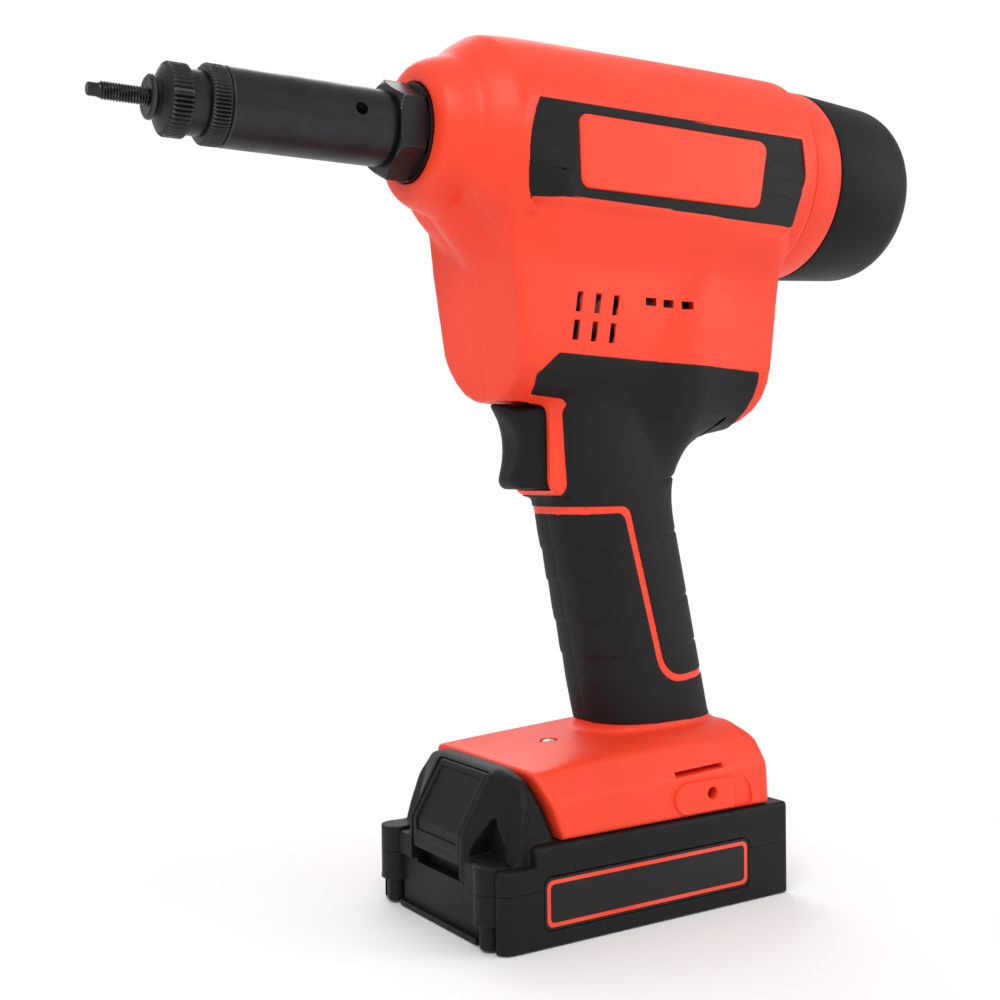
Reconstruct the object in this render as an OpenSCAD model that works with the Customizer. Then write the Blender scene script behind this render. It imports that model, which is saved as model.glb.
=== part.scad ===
// Cordless setting tool for rivet nuts: pistol body, steel nose and slide-on battery pack.
// The origin is the centre of the pack's underside, the nose points along -X and +Z is up.

/* [Battery pack] */
// Length of the pack along the tool
pack_l = 113; // [110:1:124]
// Width of the pack
pack_w = 75; // [74:1:84]
// Height of the pack's deck, on which the foot slides
pack_h = 30; // [29:0.5:36]
// Height of the seam between tray and cover
pack_seam = 17; // [15:0.5:18]
// Wall of the pack's case
pack_wall = 2.2; // [1.8:0.1:2.4]
// Corner radius of the pack in plan
pack_r = 9; // [6:0.5:12]
// Length of the pack's hood ahead of the foot
hood_l = 16.5; // [15:0.5:18]
// Diameter of a cell
cell_d = 18.3; // [17.5:0.1:18.4]
// Room between a cell's end and the pack's wall
cell_room = 2.8; // [2:0.2:4]
// Half width of the release button
button_w = 14.5; // [12:0.5:16]
// Travel of the release button
button_travel = 3.5; // [2.5:0.5:4.5]

/* [Foot] */
// Height of the foot above the pack's deck at the grip
foot_h = 25; // [24:0.5:28]
// Length of the foot
foot_l = 89; // [86:1:92]
// Half width of the foot
foot_w = 35.5; // [34:0.5:37]
// Distance from the grip's middle to the rear end of the foot
grip_set = 28.5; // [27:0.5:30]

/* [Grip] */
// Height of the grip between foot and body
grip_len = 104; // [98:1:112]
// Lean of the grip
grip_rake = 10.4; // [8:0.2:13]
// Depth of the grip, front to back
grip_d = 46; // [43:0.5:50]
// Width of the grip
grip_w = 35; // [33:0.5:38]
// Thickness of the rubber skins
rubber_t = 1.2; // [1:0.1:1.3]

/* [Body] */
// Wall of the plastic shells
wall = 2.6; // [2.4:0.1:2.9]
// Radius of the round upper body
body_r = 34.5; // [33.5:0.5:36]
// Half width of the lower body
body_w = 29; // [28:0.5:31]
// Height of the barrel's axis above the belly
axis_drop = 84.5; // [83:0.5:90]
// Distance by which the body's own axis lies under the barrel's
axis_step = 1.5; // [1:0.1:2]
// Length of the collar round the nose
collar_l = 26; // [24:0.5:30]
// Radius of the collar's opening
collar_bore = 15.2; // [14.6:0.1:16]
// Length of the rear ring
ring_l = 12.4; // [11:0.2:15]
// Length of the rear cap
cap_l = 42; // [38:1:48]

/* [Nose] */
// Diameter of the mandrel's thread
mandrel_d = 5; // [4:0.5:6]
// Length of mandrel ahead of the anvil
mandrel_out = 16; // [12:0.5:20]
// Radius of the barrel
barrel_r = 11.4; // [11.2:0.1:12.4]
// Length of the barrel ahead of its hexagon
barrel_l = 50.5; // [48:0.5:56]
// Width across flats of the hexagon
hex_af = 25; // [24:0.5:26]
// Length of the hexagon
hex_l = 9; // [8:0.5:10]
// Radius of the thread on the anvil
anvil_thread = 9; // [8.8:0.1:9.3]
// Length of the lock ring
lock_l = 6; // [5:0.5:7]
// Distance from the lock ring to the anvil's face
anvil_out = 15.3; // [14.5:0.1:18]
// Diameter of the pin hole in the barrel
pin_hole_d = 4.6; // [4:0.1:5]

/* [Drive] */
// Radius of the draw spindle
spindle_r = 7; // [6.6:0.1:7.2]
// Stroke of the draw spindle
stroke = 7; // [5:0.5:8]
// Module of the gears
gear_m = 1; // [0.98:0.01:1.02]
// Length of the draw tube
tube_l = 74; // [70:1:80]
// Room ahead of the motor for its fan
fan_room = 31; // [30:0.5:34]
// Radius of the motor's can
motor_r = 19.5; // [18:0.5:20]
// Length of the motor's can
motor_l = 43; // [40:0.5:44]
// Radius of the motor's shaft
shaft_r = 2.5; // [2.2:0.1:2.8]

/* [Fits] */
// Clearance of a running fit
fit = 0.05; // [0.03:0.01:0.08]
// Gap between pieces that do not touch
gap = 0.3; // [0.2:0.05:0.4]
// Radius of a housing screw
screw_r = 1.5; // [1.4:0.1:1.7]
// Radius of the tapped hole for the belt hook
hook_r = 1.65; // [1.5:0.05:2]
// Travel of the trigger
trigger_travel = 5; // [3.5:0.5:5.5]

/* [Hidden] */
$fn = 48;
orange = [1.0, 0.33, 0.22];
black = [0.2, 0.2, 0.21];
rubber = [0.15, 0.15, 0.16];
steel = [0.62, 0.63, 0.65];
dark_steel = [0.24, 0.23, 0.24];
alloy = [0.74, 0.75, 0.77];
brass = [0.8, 0.64, 0.32];
board_green = [0.1, 0.34, 0.2];

// Heights
z_foot = pack_h + foot_h;
z_belly = z_foot + grip_len;
z_axis = z_belly + axis_drop;
z_body = z_axis - axis_step;

// Stations along the tool
hood_x = -pack_l / 2;
foot_x = hood_x + hood_l;
grip_x = foot_x + foot_l - grip_set;
grip_top_x = grip_x - grip_len * tan(grip_rake);
body_front = grip_top_x - 42.5;
drive_x = body_front + 1;
drive_l = max(tube_l, motor_l + fan_room);
gear_x = drive_x + drive_l + 4;
gear_w = 8;
plate_x = gear_x + gear_w + 10;
plate_t = 4;
body_l = drive_l + gear_w + plate_t + 21;
body_back = body_front + body_l;
upper_back = body_back + 10;
cap_x = upper_back + ring_l;
collar_x = body_front - collar_l;
hex_x = collar_x - 5;
barrel_x = hex_x - barrel_l;
lock_x = barrel_x - lock_l - gap / 3;
anvil_x = lock_x - anvil_out;
tip_x = anvil_x - mandrel_out;

// Inside of the upper body
bore_r = body_r - wall;
tube_x = drive_x + drive_l - tube_l;
tube_r = bore_r - 7.9;
tube_in = tube_r - 6;
nut_r = tube_in - 3;
nut_hex = 22;
block_x = hex_x + hex_l;

// Gear train, one above the other
nut_teeth = 40;
idler_small = 14;
idler_big = 36;
pinion_teeth = 12;
z_idler = z_axis - gear_m * (nut_teeth + idler_small) / 2;
z_motor = z_idler - gear_m * (idler_big + pinion_teeth) / 2;
motor_x = drive_x + drive_l - motor_l;

// Housing screws: place along X, height, and how far the head's seat lies from the middle
screws = [
    [body_front + 10, z_body + bore_r - 2, 11],
    [gear_x - 12, z_body + bore_r - 2, 11],
    [body_front + 11, z_belly + 9, 22],
    [body_back - 19, z_belly + 8, 22],
    [grip_x + 7, z_belly - 17, 8],
    [grip_x - 16, z_foot + 12, 8],
    [foot_x + 11, z_foot - 12.6, 23],
    [foot_x + foot_l - 8, z_foot - 9, 23],
];

// A corner rounded by an arc, and a whole outline of corners given as x, y and radius
function unit(v) = v / norm(v);
function turn(p, q, r) = (q.x - p.x) * (r.y - q.y) - (q.y - p.y) * (r.x - q.x);
function corner(p, q, s, r, n) =
    let (
        a = unit(p - q),
        b = unit(s - q),
        half = acos(a * b) / 2,
        c = q + unit(a + b) * r / sin(half),
        u = q + a * r / tan(half) - c,
        v = q + b * r / tan(half) - c,
        from = atan2(u.y, u.x),
        sweep = (atan2(v.y, v.x) - from + 540) % 360 - 180
    )
    [for (i = [0:n]) c + r * [cos(from + sweep * i / n), sin(from + sweep * i / n)]];
function xy(p) = [p.x, p.y];
function at(list, i) = list[(i + len(list)) % len(list)];
function rounded(list, n = 4) = [
    for (i = [0:len(list) - 1])
        let (q = at(list, i))
        each q[2] > 0
            ? corner(xy(at(list, i - 1)), xy(q), xy(at(list, i + 1)), q[2], n)
            : [xy(q)]
];

// The same outline moved inward by t; its corners run anticlockwise
function inset(list, t) = [
    for (i = [0:len(list) - 1])
        let (
            p = xy(at(list, i - 1)),
            q = xy(at(list, i)),
            s = xy(at(list, i + 1)),
            n1 = unit([p.y - q.y, q.x - p.x]),
            n2 = unit([q.y - s.y, s.x - q.x]),
            r = at(list, i)[2],
            side = turn(p, q, s) > 0 ? 1 : -1,
            move = (n1 + n2) / (1 + n1 * n2)
        )
        [q.x + move.x * t, q.y + move.y * t, r > 0 ? max(r - side * t, 0.4) : 0]
];
function box_outline(x0, y0, x1, y1, r) = [[x0, y0, r], [x1, y0, r], [x1, y1, r], [x0, y1, r]];

// Prisms along each axis, and a turned shape about a lengthwise axis given as x and radius
module prism_y(list, y0, y1) {
    translate([0, y1, 0]) rotate([90, 0, 0]) linear_extrude(y1 - y0) polygon(list);
}
module prism_x(list, x0, x1) {
    translate([x0, 0, 0]) rotate([90, 0, 90]) linear_extrude(x1 - x0) polygon(list);
}
module prism_z(list, z0, z1) {
    translate([0, 0, z0]) linear_extrude(z1 - z0) polygon(list);
}
module turned(list, z = z_axis) {
    translate([0, 0, z]) rotate([0, 90, 0]) rotate_extrude() polygon([for (p = list) [p.y, p.x]]);
}
module rod_x(x0, x1, r, z = z_axis) {
    translate([x0, 0, z]) rotate([0, 90, 0]) cylinder(h = x1 - x0, r = r);
}
module rod_y(x, z, y0, y1, r) {
    translate([x, y1, z]) rotate([90, 0, 0]) cylinder(h = y1 - y0, r = r);
}
module tube_at(x0, x1, r_in, r_out, z = z_axis) {
    turned([[x0, r_in], [x1, r_in], [x1, r_out], [x0, r_out]], z);
}
module block(x0, x1, y0, y1, z0, z1) {
    translate([x0, y0, z0]) cube([x1 - x0, y1 - y0, z1 - z0]);
}
module half(side) {
    block(-300, 300, side < 0 ? -100 : 0, side < 0 ? 0 : 100, -10, 400);
}
module both_sides() {
    children();
    mirror([0, 1, 0]) children();
}

// Spur gear outline with short involute teeth
pressure = 25;
backlash = 0.12;
function involute(base, r) = let (a = acos(min(1, base / r))) tan(a) * 180 / PI - a;
function tooth_half(teeth, r) =
    let (
        pitch_r = gear_m * teeth / 2,
        base = pitch_r * cos(pressure)
    )
    90 / teeth - backlash / pitch_r * 90 / PI + involute(base, pitch_r) - involute(base, max(r, base));
function gear_outline(teeth, phase) =
    let (
        pitch_r = gear_m * teeth / 2,
        radii = [for (k = [0:4]) pitch_r - 1.05 * gear_m + 1.85 * gear_m * k / 4]
    )
    [
        for (i = [0:teeth - 1])
            let (mid = phase + 360 * i / teeth)
            each concat(
                [for (k = [0:4]) let (a = mid - tooth_half(teeth, radii[k])) radii[k] * [cos(a), sin(a)]],
                [for (k = [4:-1:0]) let (a = mid + tooth_half(teeth, radii[k])) radii[k] * [cos(a), sin(a)]]
            )
    ];
module gear(teeth, phase, x0, x1, z) {
    translate([0, 0, z]) prism_x(gear_outline(teeth, phase), x0, x1);
}
module hex_x_bar(x0, x1, flats, z = z_axis) {
    translate([x0, 0, z]) rotate([0, 90, 0]) cylinder(h = x1 - x0, r = flats / 2 / cos(30), $fn = 6);
}

// Outer forms of the body, each moved inward by t
lower_side = [
    [body_front + 1.5, z_belly, 6],
    [body_back - 20, z_belly - 3, 14],
    [body_back - 4, z_belly + 3, 16],
    [body_back + 4, z_body - 26, 6],
    [body_back + 4, z_body, 0],
    [body_front - 6, z_body, 0],
    [body_front - 7, z_body - 40, 6],
];
lower_plan = [
    [body_front - 7, -11, 3],
    [body_front + 12, -body_w, 10],
    [body_back + 4, -body_w, 14],
    [body_back + 4, body_w, 14],
    [body_front + 12, body_w, 10],
    [body_front - 7, 11, 3],
];
module lower_form(t) {
    intersection() {
        prism_y(rounded(inset(lower_side, t)), -body_w, body_w);
        prism_z(rounded(inset(lower_plan, t)), z_belly - 5, z_body);
    }
}
module chin_form() {
    prism_y([
        [collar_x + 11, z_axis - 24],
        [body_front - 6.5, z_axis - 42],
        [body_front + 4, z_axis - 42],
        [body_front + 4, z_axis - 10],
        [collar_x + 11, z_axis - 10],
    ], -11, 11);
}
module upper_form() {
    turned([
        [collar_x + 10, 0],
        [collar_x + 14, body_r - 9],
        [collar_x + 17, body_r - 5],
        [body_front - 2, body_r - 2.5],
        [body_front + 14, body_r - 0.8],
        [body_front + 40, body_r],
        [upper_back - 4, body_r],
        [upper_back, body_r - 1.8],
        [upper_back, 0],
    ], z_body);
    turned([
        [collar_x - 1.5, 0],
        [collar_x - 1.5, collar_bore + 1],
        [collar_x + 1.5, collar_bore + 4.4],
        [collar_x + 6, collar_bore + 7.8],
        [collar_x + 12, collar_bore + 9.5],
        [collar_x + 18, collar_bore + 9.5],
        [collar_x + 18, 0],
    ]);
}
function grip_outline(t, n = 36) = [
    for (i = [0:n - 1])
        let (c = cos(360 * i / n), s = sin(360 * i / n))
        [
            (grip_d / 2 - t) * sign(c) * pow(abs(c), 0.8),
            (grip_w / 2 - t) * sign(s) * pow(abs(s), 0.8),
        ]
];
module along_grip() {
    translate([grip_x, 0, z_foot]) rotate([0, -grip_rake, 0]) children();
}
grip_axis_l = grip_len / cos(grip_rake);
module grip_form(t) {
    along_grip() translate([0, 0, -9]) linear_extrude(grip_axis_l + 24) polygon(grip_outline(t));
}
web_side = [
    [grip_top_x + 6, z_belly - 30, 0],
    [grip_top_x + grip_d / 2 + 5, z_belly - 42, 0],
    [grip_top_x + grip_d / 2 + 6, z_belly - 4, 20],
    [body_back - 12, z_belly - 1, 0],
    [body_back - 14, z_belly + 9, 0],
    [grip_top_x + 6, z_belly + 9, 0],
];
module web_form(t) {
    prism_y(rounded(inset(web_side, t)), t - grip_w / 2 + 3, grip_w / 2 - 3 - t);
}
module hold_form(t) {
    lower_form(t);
    grip_form(t);
    web_form(t);
}
foot_side = [
    [foot_x + 7, pack_h + gap, 0],
    [foot_x + foot_l, pack_h + gap, 0],
    [foot_x + foot_l, z_foot - 10, 4],
    [foot_x + foot_l - 7, z_foot - 1, 4],
    [grip_x - 12, z_foot, 8],
    [foot_x + 1, z_foot - 4.5, 2],
];
foot_front = [
    [-foot_w, pack_h + gap, 0],
    [foot_w, pack_h + gap, 0],
    [foot_w, pack_h + 14, 4],
    [foot_w - 7, z_foot - 4.5, 5],
    [grip_w / 2 + 2, z_foot, 4],
    [-grip_w / 2 - 2, z_foot, 4],
    [7 - foot_w, z_foot - 4.5, 5],
    [-foot_w, pack_h + 14, 4],
];
module foot_form(t) {
    intersection() {
        prism_y(rounded(inset(foot_side, t)), -foot_w, foot_w);
        prism_x(rounded(inset(foot_front, t)), foot_x, foot_x + foot_l);
        prism_z(rounded(box_outline(foot_x + t, t - foot_w, foot_x + foot_l - t, foot_w - t, 7)), pack_h, z_foot + 1);
    }
}

// Rail channel in the foot for the pack's rail
rail_t = 3.6;
head_w = 18;
neck_w = 14;
head_t = 6;
rail_x0 = foot_x + 4;
rail_x1 = foot_x + foot_l - 5;
rail_top = pack_h + rail_t + head_t;

// Outlines of the rubber skins, seen from the side
grip_front_x = grip_x - grip_d / 2;
function grip_line(z) = grip_x - (z - z_foot) * tan(grip_rake);
line_top = z_belly - 31;
line_low = z_foot + 18;
back_skin = [
    [body_front + 14, z_belly + 16, 0],
    [body_front + 4, z_belly + 8, 0],
    [body_front, z_belly + 2, 0],
    [body_front, z_belly - 5, 0],
    [grip_top_x - 14, z_belly - 5, 0],
    [grip_top_x - 14, line_top + 1, 0],
    [grip_line(line_top) + 1, line_top + 1, 4],
    [grip_line(line_low) + 3, line_low - 2, 8],
    [grip_line(line_low) + 40, line_low + 3, 0],
    [body_back + 6, line_low + 20, 0],
    [body_back + 6, z_belly - 6, 0],
    [body_back - 22, z_belly - 1.5, 8],
    [body_back - 10, z_belly + 13.5, 4],
];
front_skin = [
    [grip_front_x - 40, line_top - 1, 0],
    [grip_front_x - 40, z_foot + 2, 0],
    [grip_x + 60, z_foot + 2, 0],
    [grip_line(line_low) + 40, line_low + 1, 0],
    [grip_line(line_low) + 1.4, line_low - 4, 8],
    [grip_line(line_top) - 0.6, line_top - 1, 4],
];
module skin_space(outline) {
    difference() {
        prism_y(rounded(outline), -60, 60);
        hold_form(rubber_t);
    }
}
module skin(outline, side) {
    color(rubber) intersection() {
        hold_form(0);
        skin_space(outline);
        half(side);
        skin_clear();
    }
}
module skin_clear() {
    difference() {
        block(-200, 200, -60, 60, 0, 400);
        trigger_space(0);
        screw_holes();
    }
}

// Side inlay and badge outlines
panel_side = [
    [body_front + 1, z_axis - 22, 2],
    [body_back - 3, z_axis - 23, 2],
    [body_back + 4, z_axis - 6, 12],
    [body_back + 3, z_axis + 7, 2],
    [body_front + 4, z_axis + 6.5, 2],
    [body_front - 2, z_axis - 6, 12],
];
badge_side = box_outline(body_front + 17.5, z_axis - 19, body_front + 93, z_axis + 3.5, 5);
panel_y = body_r - 1.8;
panel_out = body_r + 0.6;
module panel_prism(t, y0, y1) {
    prism_y(rounded(inset(panel_side, t)), y0, y1);
}
module badge_prism(t, y0, y1) {
    prism_y(rounded(inset(badge_side, t)), y0, y1);
}
module flank() {
    intersection() {
        panel_prism(-2.5, panel_y - 5, panel_out);
        prism_x([
            [panel_y - 9, z_axis - 40],
            [panel_out - 1.5, z_axis - 26],
            [panel_out - 0.4, z_axis - 6],
            [panel_out - 1.6, z_axis + 12],
            [panel_y - 9, z_axis + 18],
        ], body_front - 10, body_back + 8);
    }
}

// Holes in the shells
module vents() {
    for (i = [0:2])
        for (z = [z_motor - 9, z_motor - 0.8])
            translate([motor_x - 12 + 7.15 * i, 0, z]) rotate([0, 8, 0])
                block(-1.4, 1.4, body_w - 8, body_w + 4, -3.2, 3.2);
    for (i = [0:2])
        block(motor_x + 13.8 + 7.3 * i, motor_x + 17.8 + 7.3 * i, body_w - 8, body_w + 4, z_motor - 1, z_motor + 2);
}
trigger_z0 = z_belly - 23;
trigger_z1 = z_belly - 0.5;
trigger_w = 9;
trigger_x = grip_top_x - 21;
module trigger_space(t) {
    block(trigger_x - 30, grip_top_x - 9, -trigger_w - gap - t, trigger_w + gap + t,
        trigger_z0 - gap - t, trigger_z1 + gap + t);
}
module screw_holes() {
    for (s = screws) {
        rod_y(s.x, s.y, -11, s[2] + 0.01, screw_r);
        rod_y(s.x, s.y, s[2], 60, screw_r * 2 + 0.2);
    }
}
hook_x = grip_x + 3.8;
hook_z = pack_h + 7;
module hook_pad(t) {
    prism_y(rounded(inset(box_outline(hook_x - 15, hook_z - 6, hook_x + 13, hook_z + 6, 5.5), t)),
        foot_w - 7, foot_w + 0.6);
}
lamp_x = grip_x - 34;
lamp_z = z_foot - 3.2;

// Inner walls that hold the drive
rib_t = 2.5;
module rib(x) {
    intersection() {
        block(x, x + rib_t, -60, 60, z_belly + 5, z_body + 60);
        union() {
            rod_x(x - 1, x + rib_t + 1, bore_r + 0.5, z_body);
            lower_form(wall - 0.5);
        }
    }
}
module plate_outline(t) {
    rod_x(plate_x - t, plate_x + plate_t + t, 22 + t);
    block(plate_x - t, plate_x + plate_t + t, -11 - t, 11 + t, z_motor - 9 - t, z_axis);
}
module ribs() {
    for (x = [tube_x + 10, motor_x + 8, motor_x + motor_l - 12])
        difference() {
            rib(x);
            rod_x(x - 1, x + rib_t + 1, tube_r + gap / 2);
            rod_x(x - 1, x + rib_t + 1, motor_r + gap / 2, z_motor);
            block(x - 1, x + rib_t + 1, -14, 14, z_motor, z_axis);
        }
    difference() {
        rib(plate_x + 0.8);
        plate_outline(gap / 2);
    }
}
module bosses() {
    intersection() {
        for (s = screws)
            rod_y(s.x, s.y, -s[2] - 12, s[2] + 12, screw_r * 2 + 0.8);
        union() {
            rod_x(body_front, upper_back - 2, body_r - 0.8, z_body);
            hold_form(0.8);
            foot_form(0.8);
        }
    }
}

module shell_pair() {
    difference() {
        union() {
            difference() {
                union() {
                    upper_form();
                    lower_form(0);
                    chin_form();
                    grip_form(0);
                    web_form(0);
                    foot_form(0);
                    both_sides() flank();
                    both_sides() hook_pad(0);
                    translate([lamp_x, 0, lamp_z - 4]) cylinder(h = 5, r1 = 7, r2 = 5);
                }
                turned([
                    [collar_x + 11, 0],
                    [collar_x + 11, 20.6],
                    [body_front + 1, 20.6],
                    [body_front + 1, bore_r - 4],
                    [body_front + 8, bore_r - 1.5],
                    [body_front + 30, bore_r],
                    [upper_back + 1, bore_r],
                    [upper_back + 1, 0],
                ], z_body);
                lower_form(wall);
                grip_form(wall);
                web_form(wall);
                intersection() {
                    foot_form(wall);
                    block(-100, 100, -60, 60, rail_top + 2, z_foot);
                }
            }
            ribs();
            bosses();
        }
        rod_x(collar_x - 10, collar_x + 20, collar_bore);
        block(rail_x0 - 30, rail_x1 + gap, -head_w - gap, head_w + gap, pack_h + rail_t - gap, rail_top + gap);
        block(rail_x0 - 30, rail_x1 + gap, -neck_w - gap, neck_w + gap, pack_h - 1, pack_h + rail_t);
        block(foot_x - 3, foot_x + 8, -7, 7, rail_top, rail_top + 8);
        block(terminal_x - gap, terminal_end + gap, -14.5 - gap, 14.5 + gap, rail_top, rail_top + 3);
        both_sides() vents();
        trigger_space(0);
        skin_space(back_skin);
        skin_space(front_skin);
        both_sides() panel_prism(0, panel_y, body_r + 5);
        both_sides() rod_y(hook_x, hook_z, foot_w - 9, foot_w + 2, hook_r + 1);
        translate([lamp_x, 0, lamp_z - 8]) cylinder(h = 12, r = 3.2);
        screw_holes();
        tube_at(upper_back - 8, upper_back + 1, bore_r - 2, bore_r, z_body);
    }
}

// Body shells, split down the middle
module housing_left() {
    color(orange) intersection() {
        shell_pair();
        half(-1);
    }
}
module housing_right() {
    color(orange) intersection() {
        shell_pair();
        half(1);
    }
}
module housing_screws() {
    color(dark_steel) for (s = screws) {
        rod_y(s.x, s.y, -10, s[2], screw_r);
        rod_y(s.x, s.y, s[2], s[2] + 2.4, screw_r * 2);
    }
}

// Rubber skins
module grip_back_left() { skin(back_skin, -1); }
module grip_back_right() { skin(back_skin, 1); }
module grip_front_left() { skin(front_skin, -1); }
module grip_front_right() { skin(front_skin, 1); }

// Side inlay with the badge plate let into it
module side_panel(side) {
    color(rubber) mirror([0, side < 0 ? 1 : 0, 0]) difference() {
        panel_prism(0, panel_y, panel_out);
        badge_prism(0, panel_out - 1, panel_out + 1);
    }
}
module badge(side) {
    color(orange) mirror([0, side < 0 ? 1 : 0, 0]) badge_prism(gap / 2, panel_out - 1, panel_out + 0.6);
}
module side_panel_left() { side_panel(-1); }
module side_panel_right() { side_panel(1); }
module badge_left() { badge(-1); }
module badge_right() { badge(1); }

// Rear ring clamped by the shells, and the cap that turns in it
ring_bore = bore_r - 2.4;
module rear_ring() {
    color(orange) turned([
        [upper_back - 8, ring_bore],
        [cap_x, ring_bore],
        [cap_x, body_r - 1.8],
        [upper_back, body_r - 1.8],
        [upper_back, bore_r],
        [upper_back - 8, bore_r],
    ], z_body);
}
module rear_cap() {
    cap_r = body_r - 1.8;
    color(black) turned(concat(
        [[cap_x - 8, ring_bore - 3], [cap_x - 8, ring_bore - fit], [cap_x + gap, ring_bore - fit]],
        [[cap_x + gap, cap_r]],
        [for (i = [0:8]) [
            cap_x + cap_l - 17 + 16 * sin(90 * i / 8),
            cap_r - 17 - 1 * i / 8 + 16 * cos(90 * i / 8),
        ]],
        [[cap_x + cap_l, 0], [cap_x + cap_l - 3, 0]],
        [for (i = [8:-1:0]) [
            cap_x + cap_l - 17 + 13 * sin(90 * i / 8),
            cap_r - 17 - 1 * i / 8 + 13 * cos(90 * i / 8),
        ]],
        [[cap_x + 3, ring_bore - 3]]
    ), z_body);
}

// Nose
thread_h = 0.5;
module mandrel() {
    r = mandrel_d / 2;
    color(dark_steel) union() {
        turned([
            [tip_x, 0],
            [tip_x, r * 0.66],
            [tip_x + 0.4, r * 0.74],
            [tip_x + 2.6, r * 0.74],
            [tip_x + 3.2, r],
            [anvil_x - gap, r],
            [anvil_x - gap, r - thread_h],
            [barrel_x + 13, r - thread_h],
            [barrel_x + 13, 0],
        ]);
        hex_x_bar(barrel_x + 12, barrel_x + 20, 8);
    }
}
module anvil() {
    a = anvil_x;
    color(dark_steel) turned([
        [a, mandrel_d / 2 + fit],
        [a, 6],
        [a + 1, 6.2],
        [a + 1, 7],
        [a + 4.2, 10.2],
        [a + 9.2, 10.2],
        [a + 10.2, 9.2],
        [a + 10.2, anvil_thread],
        [barrel_x + 16, anvil_thread],
        [barrel_x + 16, 7.4],
        [a + 8, 7.4],
        [a + 7, mandrel_d / 2 + fit],
    ]);
}
module lock_ring() {
    color(dark_steel) turned([
        [lock_x, anvil_thread + fit],
        [lock_x, barrel_r - 1.1],
        [lock_x + 1, barrel_r - 0.1],
        [lock_x + lock_l - 0.8, barrel_r - 0.1],
        [lock_x + lock_l, barrel_r - 0.7],
        [lock_x + lock_l, anvil_thread + fit],
    ]);
}
spigot_r = 10.4;
pin_x = barrel_x + 38;
pin_lean = 15;
module barrel() {
    color(dark_steel) difference() {
        union() {
            turned([
                [barrel_x, 0],
                [barrel_x, barrel_r - 0.5],
                [barrel_x + 0.5, barrel_r],
                [hex_x + 1, barrel_r],
                [hex_x + 1, 0],
            ]);
            intersection() {
                hex_x_bar(hex_x, hex_x + hex_l, hex_af);
                turned([
                    [hex_x, 0],
                    [hex_x, hex_af / 2 - 0.3],
                    [hex_x + 1.2, hex_af / 2 + 1.8],
                    [hex_x + hex_l, hex_af / 2 + 1.8],
                    [hex_x + hex_l, 0],
                ]);
            }
            rod_x(hex_x + hex_l - 1, block_x + 16, spigot_r);
        }
        rod_x(barrel_x - 1, barrel_x + 18, anvil_thread + fit);
        rod_x(barrel_x + 17, block_x + 17, 8.2);
        translate([pin_x, 0, z_axis]) rotate([90 - pin_lean, 0, 0]) cylinder(h = 20, d = pin_hole_d);
    }
}
module nose_block() {
    color(steel) turned([
        [block_x, spigot_r],
        [block_x, collar_bore - gap],
        [collar_x + 12, collar_bore - gap],
        [collar_x + 12, 19],
        [tube_x, 19],
        [tube_x, 8.2],
        [block_x + 16, 8.2],
        [block_x + 16, spigot_r],
    ]);
}
module pull_head() {
    x0 = barrel_x + 6;
    color(steel) turned([
        [x0, mandrel_d / 2 + fit],
        [x0, 5.6],
        [x0 + 1.2, 6.8],
        [block_x + 4, 6.8],
        [block_x + 4, 4.7],
        [x0 + 5.6, 4.7],
        [x0 + 5.6, mandrel_d / 2 + fit],
    ]);
}

// Draw drive
module draw_spindle() {
    color(steel) {
        union() {
            rod_x(barrel_x + 22, block_x + 5, 4.7);
            rod_x(block_x + 4, plate_x - stroke - 1, spindle_r);
            hex_x_bar(plate_x - stroke - 1.5, plate_x + 18, spindle_r * 2 * cos(30) - 0.2);
        }
    }
}
module draw_tube() {
    color(alloy) turned([
        [tube_x, spindle_r + 1.6],
        [tube_x, tube_r],
        [tube_x + tube_l, tube_r],
        [tube_x + tube_l, tube_in],
        [tube_x + 6, tube_in],
        [tube_x + 6, spindle_r + 1.6],
    ]);
}
module thrust_bearing() {
    color(steel) tube_at(tube_x + 6, tube_x + 12.5, spindle_r + 2, tube_in - gap / 2);
}
module nut_bearing() {
    color(steel) tube_at(tube_x + tube_l - 14, tube_x + tube_l - 2, nut_r + fit, tube_in - gap / 2);
}
module ball_nut() {
    color(steel) difference() {
        union() {
            rod_x(tube_x + 12.5 + gap, tube_x + 19, tube_in - 1);
            rod_x(tube_x + 18.5, tube_x + tube_l + 1, nut_r);
            hex_x_bar(tube_x + tube_l + 0.5, gear_x + gear_w + 0.5, nut_hex);
        }
        rod_x(tube_x, gear_x + gear_w + 1, spindle_r + 0.3);
    }
}
module nut_gear() {
    color(steel) difference() {
        gear(nut_teeth, -90, gear_x, gear_x + gear_w, z_axis);
        hex_x_bar(gear_x - 1, gear_x + gear_w + 1, nut_hex);
    }
}
pin_r = 2.5;
module idler_gear() {
    color(steel) difference() {
        union() {
            gear(idler_small, 90 + 180 / idler_small, gear_x, gear_x + gear_w + 2, z_idler);
            gear(idler_big, -90, gear_x + gear_w + 1.5, gear_x + gear_w + 7.5, z_idler);
        }
        rod_x(gear_x - 1, gear_x + gear_w + 8, pin_r + fit, z_idler);
    }
}
module idler_pin() {
    color(steel) union() {
        rod_x(gear_x - 1, plate_x + plate_t, pin_r, z_idler);
        rod_x(gear_x + gear_w + 7.5 + gap, plate_x, pin_r + 1.6, z_idler);
        rod_x(gear_x - 2, gear_x - gap, pin_r + 1.2, z_idler);
    }
}
bearing_r = 6.5;
module gear_plate() {
    color(alloy) difference() {
        plate_outline(0);
        hex_x_bar(plate_x - 1, plate_x + plate_t + 1, spindle_r * 2 * cos(30));
        rod_x(plate_x - 1, plate_x + plate_t + 1, pin_r, z_idler);
        rod_x(plate_x - 1, plate_x + plate_t + 1, bearing_r, z_motor);
    }
}

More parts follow.
